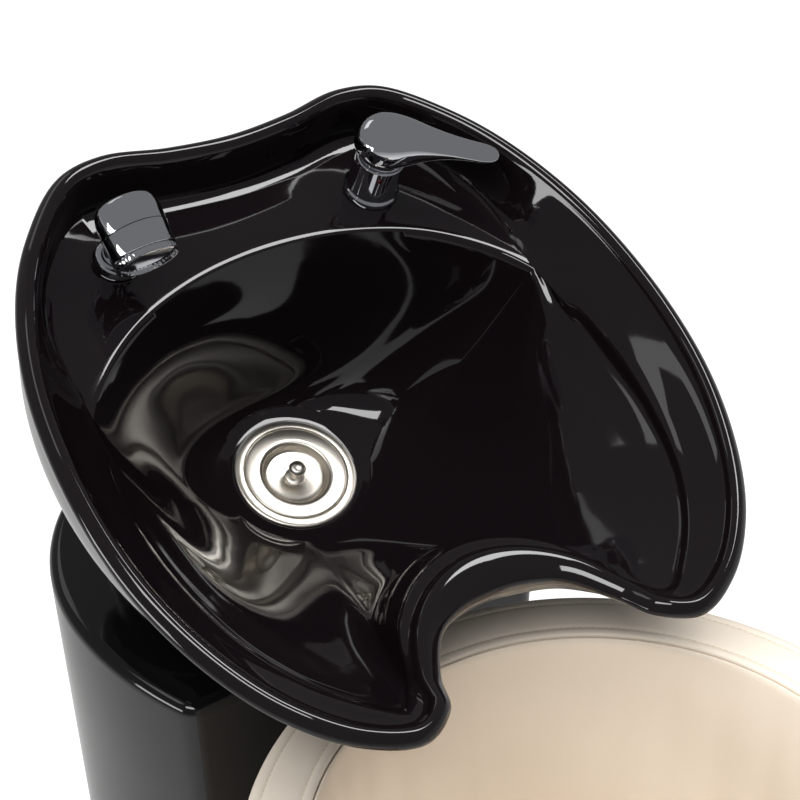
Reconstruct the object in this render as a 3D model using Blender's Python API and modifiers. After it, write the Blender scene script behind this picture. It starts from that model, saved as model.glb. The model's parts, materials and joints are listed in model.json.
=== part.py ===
import math

import bmesh
import bpy
import numpy as np
from mathutils import Matrix, Vector

# A salon backwash unit: a black glazed basin that tilts on a moulded pedestal, with a single-lever
# mixer and a pull-out spray on its deck, and a cream tub chair in front.
# The origin is on the floor under the drain. +Z is up, -Y points to the client's feet.

mm = 0.001
gap = 0.3 * mm

# basin, in its own frame: origin at the drain, y to the back, z along the drain axis
drain_rise = 100 * mm
basin_half = 263 * mm
basin_tilt = math.radians(24)
hinge_drop = 65 * mm
rim_h = 241 * mm
deck_drop = 54 * mm
lip_dip = 35 * mm
bead_r = 9.5 * mm
lip_roll = 28 * mm
basin_wall = 10 * mm
dish_r = 70 * mm
dish_h = 1 * mm
basin_foot_h = -30 * mm
per_span = 2
scoop_ease = 4

# waste and strainer
flange_r = 56 * mm
waste_bore_r = 46 * mm
cup_r = 44 * mm
cup_depth = 46 * mm
sheet = 2 * mm
ledge_t = 0.8 * mm
tail_r = 20 * mm
tail_end = -100 * mm
gasket_t = 3 * mm
locknut_r = 58 * mm
locknut_t = 11 * mm
basket_cup_r = 31 * mm
basket_depth = 9 * mm
knob_r = 8 * mm

# tilt bracket
plate_t = 4 * mm
cradle_x, cradle_y = 100 * mm, 62 * mm
ear_r = 15 * mm
ear_t = 5 * mm
pin_r = 5 * mm
bracket_foot = 52 * mm
bracket_half = 45 * mm
stop_r = 12 * mm
stop_x, stop_y = 66 * mm, -38 * mm

# mixer
mixer_at = (116 * mm, 144 * mm)
mixer_base_r = 24.5 * mm
mixer_base_t = 6 * mm
mixer_body_r = 21.5 * mm
mixer_body_h = 44 * mm
mixer_bore_r = 17 * mm
mixer_spigot_r = 15.5 * mm
mixer_spigot_l = 38 * mm
lever_yaw = math.radians(-31)
lever_pivot_h = 60 * mm
lever_dome_r = 27 * mm
lever_shell = 2 * mm
lever_length = 98 * mm
lever_tip_r = 11 * mm
cap_r = 24.3 * mm
spindle_r = 4.5 * mm

# spray
spray_at = (-126 * mm, 150 * mm)
spray_yaw = math.radians(-90)
spray_rise = math.radians(-16)
barrel_r = 27.5 * mm
barrel_l = 54 * mm
barrel_at = (19 * mm, 61 * mm)
neck_r = 13 * mm
bush_r = 21 * mm
bush_t = 9 * mm
bush_bore_r = neck_r + 0.4 * mm
spray_hose_r = 6.5 * mm
spray_pull = 200 * mm

# pedestal
ped_top = 650 * mm
drain_z = ped_top + drain_rise
ped_front = -125 * mm
ped_mid_y = 30 * mm
ped_half = 216 * mm
ped_back_len = 235 * mm
ped_front_len = 277 * mm
ped_corner = 14 * mm
ped_edge = 12 * mm
ped_wall = 5 * mm
ped_foot_scale = 0.905
ped_clear = 1 * mm
port_x = 82 * mm
port_y0, port_y1 = -14 * mm, 180 * mm
door_half, door_z0, door_z1 = 105 * mm, 110 * mm, 470 * mm
door_gap = 0.5 * mm
door_lap = 18 * mm
floor_plate_t = 6 * mm
tongue_half = 80 * mm
post = 40 * mm
post_wall = 3 * mm
post_x, post_y = 120 * mm, 20 * mm
top_plate_t = 6 * mm
spigot_at = (0.0, 120 * mm)
spigot_top = 60 * mm
spigot_r = 22 * mm

# chair
tub_y = -468 * mm
tub_r = 277 * mm
tub_rim_z = 705 * mm
tub_front = -790 * mm
arm_drop = 95 * mm
tub_taper = 26 * mm
board_z = 100 * mm
board_t = 18 * mm
outer_pad_t = 9 * mm
tub_frame_t = 12 * mm
inner_pad_t = 25 * mm
band_t = 12 * mm
facing_t = 14 * mm
seat_z = 365 * mm
seat_t = 85 * mm
seat_crown = 22 * mm
seat_wall = 15 * mm
apron_t = 14 * mm
plinth_in = 5.48 * mm  # the chair's plinth stands this far inside the line of the pedestal's foot
plinth_r = ped_half * ped_foot_scale - plinth_in
plinth_wall = 15 * mm
plinth_front = -690 * mm

# supply hoses
hose_r = 6 * mm
union_r = 11 * mm
union_at = ((95 * mm, 75 * mm), (95 * mm, 125 * mm))

bpy.context.scene.cursor.location = (0, 0, 0)
for old in list(bpy.data.objects):
    bpy.data.objects.remove(old, do_unlink=True)
unit = bpy.data.collections.new("backwash_unit")
cutters = bpy.data.collections.new("cutters")
cutters.hide_render = True
bpy.context.scene.collection.children.link(unit)
bpy.context.scene.collection.children.link(cutters)


def material(name, colour, roughness, metallic=0.0):
    made = bpy.data.materials.new(name)
    made.use_nodes = True
    shader = made.node_tree.nodes["Principled BSDF"]
    shader.inputs["Base Color"].default_value = (*colour, 1)
    shader.inputs["Roughness"].default_value = roughness
    shader.inputs["Metallic"].default_value = metallic
    return made


glaze = material("black_glaze", (0.004, 0.004, 0.005), 0.04)
gelcoat = material("black_gelcoat", (0.006, 0.006, 0.007), 0.08)
chrome = material("chrome", (0.8, 0.81, 0.83), 0.05, 1.0)
stainless = material("stainless", (0.62, 0.61, 0.59), 0.28, 1.0)
steel = material("black_steel", (0.03, 0.03, 0.032), 0.5, 0.3)
zinc = material("zinc_steel", (0.5, 0.51, 0.53), 0.4, 1.0)
brass = material("brass", (0.6, 0.45, 0.2), 0.35, 1.0)
rubber = material("rubber", (0.02, 0.02, 0.02), 0.8)
hose_skin = material("braided_hose", (0.45, 0.46, 0.48), 0.45, 0.8)
plastic = material("grey_plastic", (0.25, 0.25, 0.26), 0.5)
black_plastic = material("black_plastic", (0.012, 0.012, 0.013), 0.4)
leather = material("cream_leather", (0.72, 0.62, 0.48), 0.5)
plywood = material("plywood", (0.5, 0.36, 0.2), 0.7)
red_dot = material("index_red", (0.5, 0.03, 0.03), 0.3)


def empty(name, parent=None, at=(0, 0, 0), turn=(0, 0, 0)):
    made = bpy.data.objects.new(name, None)
    made.empty_display_size = 0.03
    made.location, made.rotation_euler, made.parent = at, turn, parent
    unit.objects.link(made)
    return made


def finish(made, skin, parent=None, at=(0, 0, 0), turn=(0, 0, 0), cutter=False):
    made.location, made.rotation_euler, made.parent = at, turn, parent
    if cutter:
        made.hide_render, made.display_type = True, "WIRE"
        cutters.objects.link(made)
    else:
        made.data.materials.append(skin)
        unit.objects.link(made)
    return made


def from_bmesh(name, bm, skin, smooth=True, **place):
    mesh = bpy.data.meshes.new(name)
    bmesh.ops.recalc_face_normals(bm, faces=bm.faces)
    bm.to_mesh(mesh)
    bm.free()
    if smooth:
        mesh.shade_smooth()
        mesh.set_sharp_from_angle(angle=math.radians(35))
    return finish(bpy.data.objects.new(name, mesh), skin, **place)


def loft(name, rings, skin, closed=False, caps=True, **place):
    # skins a row of rings that all have the same number of points
    bm = bmesh.new()
    rows = [[bm.verts.new(p) for p in ring] for ring in rings]
    n = len(rows[0])
    for a, b in zip(rows, rows[1:] + rows[:1] if closed else rows[1:]):
        for i in range(n):
            bm.faces.new((a[i], a[(i + 1) % n], b[(i + 1) % n], b[i]))
    if caps and not closed:
        bm.faces.new(rows[0][::-1])
        bm.faces.new(rows[-1])
    return from_bmesh(name, bm, skin, **place)


def turned(name, profile, skin, steps=32, **place):
    # profile: (radius, height) points down the outer side; a ring's profile goes back up its bore
    bm = bmesh.new()
    points = [bm.verts.new((r, 0, z)) for r, z in profile]
    solid = profile[0][0] == 0
    for a, b in zip(points, points[1:] if solid else points[1:] + points[:1]):
        bm.edges.new((a, b))
    mesh = bpy.data.meshes.new(name)
    bm.to_mesh(mesh)
    bm.free()
    made = finish(bpy.data.objects.new(name, mesh), skin, **place)
    screw = made.modifiers.new("turn", "SCREW")
    screw.steps = screw.render_steps = steps
    screw.use_merge_vertices, screw.merge_threshold = True, 0.00001
    screw.use_smooth_shade = True
    return made


def ring(name, inner, outer, low, high, skin, steps=32, **place):
    return turned(name, [(inner, high), (outer, high), (outer, low), (inner, low)], skin, steps, **place)


def disc(name, radius, low, high, skin, steps=24, **place):
    return turned(name, [(0, high), (radius, high), (radius, low), (0, low)], skin, steps, **place)


def block(name, low, high, skin, bevel=0.0, **place):
    bm = bmesh.new()
    low, high = Vector(low), Vector(high)
    bmesh.ops.create_cube(bm, size=1, matrix=Matrix.LocRotScale((low + high) / 2, None, high - low))
    if bevel:
        bmesh.ops.bevel(bm, geom=list(bm.edges), offset=bevel, segments=2, profile=0.5, affect="EDGES")
    return from_bmesh(name, bm, skin, smooth=bool(bevel), **place)


def slab(name, outline, low, high, skin, **place):
    # an upright extrusion of a flat outline
    rings = [[(x, y, z) for x, y in outline] for z in (low, high)]
    return loft(name, rings, skin, **place)


def frame_slab(name, outer, inner, low, high, skin, **place):
    # an extrusion with a hole: both outlines have the same number of points
    rings = [[(x, y, z) for x, y in line] for line, z in
             ((outer, low), (outer, high), (inner, high), (inner, low))]
    return loft(name, rings, skin, closed=True, **place)


def round_rect(x0, y0, x1, y1, r, steps=4):
    turns = np.linspace(0, math.pi / 2, steps + 1)
    out = []
    for cx, cy, start in ((x1 - r, y1 - r, 0), (x0 + r, y1 - r, 1), (x0 + r, y0 + r, 2),
                          (x1 - r, y0 + r, 3)):
        out += [(cx + r * math.cos(t + start * math.pi / 2), cy + r * math.sin(t + start * math.pi / 2))
                for t in turns]
    return out


def boolean(made, cutter, operation="DIFFERENCE"):
    cut = made.modifiers.new("boolean", "BOOLEAN")
    cut.operation, cut.object, cut.solver = operation, cutter, "EXACT"
    return made


def spline(points, per, ghosts=None):
    # points on a smooth curve through the given ones; ghosts continue it past each end
    p = np.asarray(points, float)
    first, last = ghosts if ghosts else (2 * p[0] - p[1], 2 * p[-1] - p[-2])
    q = np.vstack([first, p, last])
    out = []
    for a, b, c, d in zip(q, q[1:], q[2:], q[3:]):
        ka, kb, kc = (max(np.linalg.norm(v - u), 1e-6) ** 0.5 for u, v in ((a, b), (b, c), (c, d)))
        mb = (c - b) / kb - (c - a) / (ka + kb) + (b - a) / ka
        mc = (d - c) / kc - (d - b) / (kb + kc) + (c - b) / kb
        for t in np.arange(per) / per:
            h = (2 * t**3 - 3 * t**2 + 1, (t**3 - 2 * t**2 + t) * kb,
                 3 * t**2 - 2 * t**3, (t**3 - t**2) * kb)
            out.append(h[0] * b + h[1] * mb + h[2] * c + h[3] * mc)
    return np.array(out + [p[-1]])


def tube(name, route, radius, skin, per=3, around=1, **place):
    # a smooth hose through the route's points
    curve = bpy.data.curves.new(name, "CURVE")
    curve.dimensions = "3D"
    curve.bevel_depth, curve.bevel_resolution, curve.use_fill_caps = radius, around, True
    points = spline(route, per)
    line = curve.splines.new("POLY")
    line.points.add(len(points) - 1)
    for point, at in zip(line.points, points):
        point.co = (*at, 1)
    return finish(bpy.data.objects.new(name, curve), skin, **place)


# Frames: the basin swings on its hinge, the lever and the spray have axes of their own.
tilt_c, tilt_s = math.cos(basin_tilt), math.sin(basin_tilt)
hinge_y, hinge_z = hinge_drop * tilt_s, drain_z - hinge_drop * tilt_c
basin_pivot = empty("basin_pivot", at=(0, hinge_y, hinge_z), turn=(basin_tilt, 0, 0))
drain_axis = empty("drain_axis", basin_pivot, (0, 0, hinge_drop))
deck_h = rim_h - deck_drop
mixer_axis = empty("mixer_axis", drain_axis, (*mixer_at, deck_h), (0, 0, lever_yaw))
lever_axis = empty("lever_axis", mixer_axis, (0, 0, lever_pivot_h))
spray_axis = empty("spray_axis", drain_axis, (*spray_at, deck_h), (0, 0, spray_yaw))
on_basin = {"parent": drain_axis}


def basin_point(x, y, h):
    # a place in the basin's frame, in world terms
    return np.array((x, y * tilt_c - h * tilt_s, drain_z + y * tilt_s + h * tilt_c))


# Basin. Eighteen stations run down one side, from the middle of the back to the middle of the neck
# notch, and the other side mirrors them. Each ring of the skin has one point at every station.
# The outlines are drawn for a basin 526 mm wide.
outline_unit = basin_half / 263
crest = np.array([(0, 198), (58, 203), (112, 213), (149, 205), (194, 161), (226, 109), (253, 29),
                  (263, -70), (255, -156), (231, -229), (201, -279), (163, -315), (125, -330),
                  (101, -317), (91, -289), (69, -250), (37, -225), (0, -216)]) * outline_unit
brink = np.array([(0, 117), (57, 112), (105, 99), (140, 83), (172, 60), (196, 36),
                  (210, 16)]) * outline_unit
hull_foot = np.array([(0, 186), (60, 187), (108, 190), (136, 182), (158, 140), (168, 95), (170, 25),
                      (163, -30), (148, -66), (128, -88), (110, -98), (92, -106), (78, -110),
                      (66, -112), (56, -113), (40, -115), (20, -116), (0, -116)]) * outline_unit
wall_in = np.array([10, 10, 10, 9, 9, 16, 37, 40, 38, 34, 32, 28, 20, 20, 12, 16, 18, 19]) * outline_unit
wall_fade = np.array([1, 1, 1, 1, 1, 1, 1, .94, .75, .58, .48, .4, .35, .37, .33, .29, .27, .27])
notch = np.array([0] * 14 + [.12, .4, .8, 1])
tuck = np.array([0, 0, 0, 0, 0, 1, 3, 6, 9, 12, 16, 20, 22, 20, 12, 4, 0, 0]) * outline_unit
dip = np.array([0] * 13 + [.14, .54, .83, .97, 1])
dish_turn = np.radians([0, 19, 38, 52, 66, 80, 93, 105, 117, 127, 135, 143, 150, 154, 158, 165, 172, 180])
belly = np.array([2.2, 2.2, 2.2, 2.2, 2.2, 2, 1.8, 1.6, 1.4, 1.2, 1.05, .92, .82, .78, .75, .75, .75, .75])
slope = np.array([1.1, 1.1, 1.1, 1.1, 1.05, 1.02, 1, 1.1, 1.2, 1.2, 1.15, 1.1, 1.05, 1.1, 1.2, 1.4, 1.6,
                  1.65])


def outward(line):
    # unit normals of a half outline that starts and ends on the mirror plane
    mirror = np.array((-1, 1))
    whole = np.vstack([line[1] * mirror, line, line[-2] * mirror])
    along = whole[2:] - whole[:-2]
    away = np.c_[-along[:, 1], along[:, 0]]
    return away / np.linalg.norm(away, axis=1)[:, None]


def lift(line, height):
    return np.c_[line, np.broadcast_to(height, len(line))]


def circle(radius):
    return np.c_[np.sin(dish_turn), np.cos(dish_turn)] * radius


def basin_controls():
    away = outward(crest)
    crest_h = rim_h - lip_dip * dip

    def beside(out, drop):
        return lift(crest + away * np.reshape(out, (-1, 1)), crest_h - drop)

    wall = beside(-wall_in, deck_drop * wall_fade)
    dish = lift(circle(dish_r), dish_h)
    back = len(brink)
    edge = wall.copy()
    edge[:back] = lift(brink, deck_h)
    skin = [lift(circle(waste_bore_r), -3 * mm), lift(circle(flange_r + 2.5 * mm), -2.5 * mm), dish]
    for near, far in ((.9, .9), (.68, .72), (.32, .46), (.06, .26)):
        share = np.where(np.arange(len(crest)) < back, near, far)[:, None]
        row = edge + (dish - edge) * share
        row[:, 2] = edge[:, 2] + (dish_h - edge[:, 2]) * (1 - (1 - share[:, 0]) ** slope)
        for _ in range(round(scoop_ease * far)):
            # the lobes' scoops run round into the notch with no crease
            row[9:] = (row[8:-1] + 2 * row[9:] + np.vstack([row[10:], row[-2] * (-1, 1, 1)])) / 4
        skin.append(row)
    step = wall - edge
    reach = np.linalg.norm(step, axis=1)[:, None]
    lip = edge + (dish - edge) * .14
    lip[:back] = edge[:back] - (0, 0, 1.5 * mm)
    shelf = edge + (dish - edge) * .06
    shelf[:back] = edge[:back] + (step / np.maximum(reach, mm))[:back] * np.minimum(12 * mm,
        reach * .4)[:back]
    fillet = np.maximum(-wall_in - 8 * mm * (wall_fade == 1), -wall_in * 1.2)
    ledge = beside(fillet, deck_drop * wall_fade)
    ledge[back:] = edge[back:] + (dish - edge)[back:] * .02
    rise = beside(-wall_in, deck_drop * wall_fade - 7 * mm * wall_fade)
    skin += [lip, shelf, ledge, rise]
    skin += [beside(-bead_r * .9, bead_r), beside(-bead_r * .5, 2.5 * mm), beside(0, 0)]
    roll = bead_r + (lip_roll - bead_r) * notch
    skin += [beside(roll * .5, 2.5 * mm), beside(roll, bead_r * (1 + .2 * notch)),
             beside(roll * .97 - tuck, 25 * mm), beside(roll * .8 - tuck * 1.8, 40 * mm)]
    top = skin[-1]
    for s in (.25, .5, .78, 1):
        plan = top[:, :2] + (hull_foot - top[:, :2]) * (s ** belly)[:, None]
        skin.append(lift(plan, top[:, 2] + (basin_foot_h - top[:, 2]) * s))

    def inside(row):
        return lift(row[:, :2] - outward(row[:, :2]) * basin_wall, row[:, 2])

    shift = np.array([-12] * 5 + [-8, 0] + [6] * 11) * mm
    roof = lift(wall[:, :2] + away * shift[:, None], wall[:, 2] - basin_wall)
    hidden = [inside(skin[-1]), inside(skin[-2]), inside(skin[-4]), roof]
    grid = np.array(skin[:9])
    across = np.gradient(grid, axis=0)
    along = np.gradient(grid, axis=1)
    along[:, 0, 1:] = along[:, -1, 1:] = 0
    normal = np.cross(along, across)
    normal /= np.linalg.norm(normal, axis=2)[:, :, None]
    normal *= np.sign(normal[:, :, 2:])
    normal[:, (0, -1), 0] = 0
    under = [grid[j] - normal[j] * basin_wall for j in (7, 4, 3)]
    under[0][:back, 2] = deck_h - basin_wall
    hidden += under
    floor = dish_h - basin_wall - 4 * mm
    hidden += [lift(circle(dish_r), floor), lift(circle(waste_bore_r), floor)]
    return skin + hidden, floor


def both_sides(row, per):
    flip = np.array((-1, 1, 1))
    half = spline(row, per, (row[1] * flip, row[-2] * flip))
    half[(0, -1), 0] = 0
    return np.vstack([half, half[-2:0:-1] * flip])


controls, basin_floor = basin_controls()
basin = loft("basin", [both_sides(row, per_span) for row in controls], glaze, closed=True, **on_basin)
for name, at, radius in (("mixer_hole", mixer_at, mixer_spigot_r + mm),
                         ("spray_hole", spray_at, bush_bore_r + 4 * mm)):
    hole = disc(name, radius, deck_h - 30 * mm, deck_h + 10 * mm, None, 24, parent=drain_axis,
                at=(*at, 0), cutter=True)
    boolean(basin, hole)

# Waste: a pressed flange with its cup and tail, held by a locknut that also clamps the tilt cradle.
seat = -2.5 * mm + gap
waste_body = turned("waste_body", [
    (flange_r - 9 * mm, seat + 2.6 * mm), (flange_r - 2 * mm, seat + 2.2 * mm), (flange_r, seat + 0.8 * mm),
    (flange_r, seat), (cup_r, seat), (cup_r, -cup_depth),
    (tail_r, -cup_depth - 6 * mm), (tail_r, tail_end), (tail_r - sheet, tail_end),
    (tail_r - sheet, -cup_depth - 4 * mm), (cup_r - sheet, -cup_depth + sheet),
    (cup_r - sheet, seat + ledge_t - 0.2 * mm), (flange_r - 9 * mm, seat + ledge_t)], stainless, 24, **on_basin)
low = basin_floor - gap
ring("waste_gasket", waste_bore_r, locknut_r + 2 * mm, low - gasket_t, low, rubber, 24, **on_basin)
cradle_top = low - gasket_t - gap
cradle_low = cradle_top - plate_t
ring("waste_locknut", cup_r + gap, locknut_r, cradle_low - gap - locknut_t, cradle_low - gap, black_plastic,
     24, **on_basin)
nut_low = tail_end - 14 * mm
waste_hose_r = tail_r - 3 * mm
turned("tail_nut", [(tail_r + gap, tail_end + 14 * mm), (tail_r + 6 * mm, tail_end + 14 * mm),
                    (tail_r + 6 * mm, nut_low), (waste_hose_r + gap, nut_low),
                    (waste_hose_r + gap, tail_end - gap), (tail_r + gap, tail_end - gap)],
       black_plastic, 24, **on_basin)

# Strainer basket that drops into the flange and lifts out by its knob.
rest = seat + ledge_t + gap
basket_r = flange_r - 9 * mm - 2 * gap
turned("strainer_basket", [
    (basket_cup_r + sheet, rest + 1.6 * mm), (basket_r - mm, rest + 1.4 * mm), (basket_r, rest + 0.7 * mm),
    (basket_r, rest), (basket_cup_r + sheet, rest), (basket_cup_r, rest - 2 * mm),
    (basket_cup_r - 3 * mm, rest - basket_depth), (5 * mm, rest - basket_depth),
    (5 * mm, rest - basket_depth + sheet),
    (basket_cup_r - 3 * mm - sheet, rest - basket_depth + sheet), (basket_cup_r - sheet, rest - 2 * mm)],
    stainless, 24, **on_basin)
post_z = rest - basket_depth
turned("strainer_knob", [
    (0, post_z + 21 * mm), (knob_r * .7, post_z + 20 * mm), (knob_r, post_z + 17 * mm),
    (knob_r * .8, post_z + 14 * mm),
    (4 * mm, post_z + 12 * mm), (4 * mm, post_z + 6 * mm), (9 * mm, post_z + 5 * mm),
    (9 * mm, post_z + sheet + gap),
    (5 * mm - gap, post_z + sheet + gap), (5 * mm - gap, post_z - gap - 3 * mm), (0, post_z - gap - 3 * mm)],
    stainless, 16, **on_basin)
turned("strainer_seal", [(5 * mm, post_z - gap), (12 * mm, post_z - gap), (12 * mm, post_z - 3 * mm - gap),
                         (5 * mm, post_z - 3 * mm - gap)], rubber, 16, **on_basin)

# Tilt cradle under the basin, on two pins in the brackets that stand on the pedestal.
ear_in = cradle_x - ear_t - 8 * mm
cradle = slab("tilt_cradle", round_rect(-cradle_x, -cradle_y, cradle_x, cradle_y, 12 * mm), cradle_low,
              cradle_top,
              steel, **on_basin)
boolean(cradle, disc("cradle_bore", cup_r + 2 * mm, cradle_low - 5 * mm, cradle_top + 5 * mm, None, 24,
                     parent=drain_axis, cutter=True))


def ear(name, x, top, low_round, skin, **place):
    # an upright strap across X, from a flat top edge to a round end at the hinge
    arc = [(ear_r * math.cos(t), low_round + ear_r * math.sin(t)) for t in np.linspace(0, -math.pi, 9)]
    if top < low_round:
        arc = [(-y, 2 * low_round - z) for y, z in arc]
    line = [(arc[0][0], top)] + arc + [(arc[-1][0], top)]
    rings = [[(x + s * ear_t / 2, y, z) for y, z in line] for s in (-1, 1)]
    return loft(name, rings, skin, **place)


for side, sign in (("left", -1), ("right", 1)):
    inner = ear(f"cradle_ear_{side}", sign * (ear_in + ear_t / 2), cradle_low + plate_t / 2, -hinge_drop,
                None,
                parent=drain_axis, cutter=True)
    hinge_hole = disc(f"cradle_bore_{side}", pin_r + gap, -12 * mm, 12 * mm, None, 12, parent=drain_axis,
                      at=(sign * ear_in, 0, -hinge_drop), turn=(0, math.pi / 2, 0), cutter=True)
    boolean(cradle, inner, "UNION")
    boolean(cradle, hinge_hole)
    face = ear_in + ear_t
    outer_x = face + gap
    foot = [(outer_x, -bracket_half), (outer_x + bracket_foot, -bracket_half),
            (outer_x + bracket_foot, bracket_half), (outer_x, bracket_half)]
    bracket = slab(f"tilt_bracket_{side}", [(sign * x, hinge_y + y) for x, y in foot],
                   ped_top + gap, ped_top + gap + ear_t, steel)
    upright = ear(f"bracket_ear_{side}", sign * (outer_x + ear_t / 2), ped_top + gap + ear_t / 2, hinge_z,
                  None,
                  at=(0, hinge_y, 0), cutter=True)
    boolean(bracket, upright, "UNION")
    boolean(bracket, disc(f"bracket_bore_{side}", pin_r + gap, -12 * mm, 12 * mm, None, 12,
                          at=(sign * outer_x, hinge_y, hinge_z), turn=(0, math.pi / 2, 0), cutter=True))
    out = outer_x + ear_t + gap
    turned(f"pivot_pin_{side}", [
        (0, out + 7 * mm), (8 * mm, out + 7 * mm), (9 * mm, out + 6 * mm), (9 * mm, out), (pin_r, out),
        (pin_r, ear_in - 2 * mm), (0, ear_in - 2 * mm)],
        zinc, 12, at=(0, hinge_y, hinge_z), turn=(0, sign * math.pi / 2, 0))
    for end, y in (("front", -bracket_half + 12 * mm), ("back", bracket_half - 12 * mm)):
        bolt_x = sign * (outer_x + bracket_foot - 14 * mm)
        at = (bolt_x, hinge_y + y, ped_top + 2 * gap + ear_t)
        bolt = turned(f"bracket_bolt_{side}_{end}", [
            (0, 6 * mm), (6.5 * mm, 6 * mm), (7.5 * mm, 4.5 * mm), (7.5 * mm, 0), (4 * mm, 0),
            (4 * mm, -ear_t - ped_wall - top_plate_t - 6 * mm),
            (0, -ear_t - ped_wall - top_plate_t - 6 * mm)],
            zinc, 8, at=at)
        bolt_hole = disc(f"bolt_hole_{side}_{end}", 4 * mm + gap, -40 * mm, 8 * mm, None, 8, at=at,
                         cutter=True)
        boolean(bracket, bolt_hole)
    # rubber stop under the cradle's front edge, touching it in this forward position
    centre_h = cradle_low - gap - stop_r
    stop_z = (centre_h + tilt_s * stop_y) / tilt_c + drain_z
    dome = [(stop_r * math.sin(t), stop_z + stop_r * math.cos(t)) for t in np.radians((0, 28, 56, 80))]
    turned(f"tilt_stop_{side}", dome + [(stop_r, stop_z - 4 * mm), (stop_r + 4 * mm, ped_top + 4 * mm),
                                        (stop_r + 4 * mm, ped_top + gap), (0, ped_top + gap)],
           rubber, 12, at=(sign * stop_x, stop_y, 0))


# Mixer: body on the deck, cartridge inside, a ball-shaped cap, and a lever that turns and lifts.
on_mixer = {"parent": mixer_axis}
spigot_end = -mixer_spigot_l
base = gap
turned("mixer_body", [
    (mixer_bore_r, mixer_body_h), (mixer_body_r - mm, mixer_body_h), (mixer_body_r, mixer_body_h - mm),
    (mixer_body_r + 0.6 * mm, base + mixer_base_t + 2 * mm), (mixer_base_r - mm, base + mixer_base_t),
    (mixer_base_r, base + mixer_base_t - 1.5 * mm), (mixer_base_r, base), (mixer_spigot_r, base),
    (mixer_spigot_r, spigot_end), (6 * mm, spigot_end), (6 * mm, base + 5 * mm),
    (mixer_bore_r, base + 5 * mm)],
    chrome, 24, **on_mixer)
disc("mixer_cartridge", mixer_bore_r - gap, base + 5 * mm + gap, mixer_body_h, plastic, 24, **on_mixer)
nut_top = -basin_wall - gap
ring("mixer_nut", mixer_spigot_r + gap, 24 * mm, nut_top - 10 * mm, nut_top, brass, 24, **on_mixer)
on_lever = {"parent": lever_axis}
body_top = mixer_body_h - lever_pivot_h
dome_low = -7 * mm
cap_bore = 12 * mm
cap_turns = np.linspace(math.asin((body_top + gap) / cap_r), math.asin(10 * mm / cap_r), 6)[::-1]
turned("cartridge_cap", [(cap_bore, cap_r * math.sin(cap_turns[0]))]
       + [(cap_r * math.cos(t), cap_r * math.sin(t)) for t in cap_turns] + [(cap_bore, body_top + gap)],
       chrome, 24, **on_lever)
ring("cartridge_rotor", spindle_r + 3.5 * mm, cap_bore - gap, body_top + gap, -2 * mm, plastic, 24,
     **on_lever)
cavity_r = lever_dome_r - lever_shell
disc("mixer_spindle", spindle_r, -11 * mm, cavity_r - gap - 0.5 * mm, brass, 12, **on_lever)
dome_turns = np.linspace(math.pi / 2, math.asin(dome_low / lever_dome_r), 9)
lever = turned("mixer_lever", [(lever_dome_r * math.cos(t) * (t < 1.57),
                                lever_dome_r * math.sin(t)) for t in dome_turns]
               + [(0, dome_low)], chrome, 24, **on_lever)


def paddle_ring(x, half, low, high):
    # one section of the lever's paddle: flat below, crowned above
    arc = np.linspace(0, math.pi, 8)
    top = [(x, half * math.cos(t), low + (high - low) * (.3 + .7 * math.sin(t) ** .8)) for t in arc]
    return top + [(x, -half * .8, low), (x, half * .8, low)]


tip = lever_length
paddle = loft("paddle", [paddle_ring(*row) for row in (
    (4 * mm, 25 * mm, -4 * mm, 26 * mm), (14 * mm, 22.6 * mm, -2 * mm, 25 * mm),
    (27 * mm, 18.6 * mm, 2 * mm, 22 * mm),
    (40 * mm, 15.2 * mm, 4.5 * mm, 18.6 * mm), (58 * mm, 12.4 * mm, 5.5 * mm, 14.8 * mm),
    (tip - 22 * mm, lever_tip_r, 5.5 * mm, 12 * mm), (tip - 8 * mm, lever_tip_r * .92, 5.5 * mm, 10.6 * mm),
    (tip - 2.5 * mm, lever_tip_r * .65, 5.5 * mm, 9.8 * mm), (tip, lever_tip_r * .3, 6.5 * mm, 9 * mm))],
    None, parent=lever_axis, cutter=True)
boolean(lever, paddle, "UNION")
ball = turned("dome_cavity", [(cavity_r * math.cos(t) * (abs(t) < 1.57), cavity_r * math.sin(t))
                              for t in np.linspace(math.pi / 2, -math.pi / 2, 11)], None, 24,
                              parent=lever_axis, cutter=True)
boolean(lever, ball)
index_turn = math.radians(-120) - lever_yaw
turned("index_button", [(0, 1.2 * mm), (2 * mm, mm), (2.6 * mm, 0), (0, 0)], red_dot, 12, parent=mixer_axis,
       at=((mixer_body_r + 2 * gap) * math.cos(index_turn), (mixer_body_r + 2 * gap) * math.sin(index_turn),
           mixer_body_h - 8 * mm), turn=(0, math.pi / 2, index_turn))

# Spray: a barrel head on a neck that stands in a bush and pulls out with its hose.
on_spray = {"parent": spray_axis}
bush_low = -30 * mm
turned("spray_bush", [
    (bush_bore_r, bush_t), (bush_r - 3 * mm, bush_t), (bush_r - mm, bush_t - 2 * mm),
    (bush_r, gap + 2 * mm), (bush_r, gap),
    (bush_bore_r + 3.6 * mm, gap), (bush_bore_r + 3.6 * mm, bush_low), (bush_bore_r, bush_low)], chrome, 24,
    **on_spray)
ring("spray_bush_nut", bush_bore_r + 3.6 * mm + gap, 25 * mm, nut_top - 10 * mm, nut_top, brass, 24,
     **on_spray)
neck_low = -35 * mm
neck_top = barrel_at[1] - 12 * mm
spray_body = turned("spray_body", [(0, neck_top), (neck_r - mm, neck_top), (neck_r, bush_t + 18 * mm),
                                   (neck_r, neck_low),
                                   (0, neck_low)], chrome, 24, **on_spray)
barrel_turn = {"parent": spray_axis, "at": (barrel_at[0], 0, barrel_at[1]),
               "turn": (0, math.pi / 2 - spray_rise, 0)}
half_l = barrel_l / 2
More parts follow.
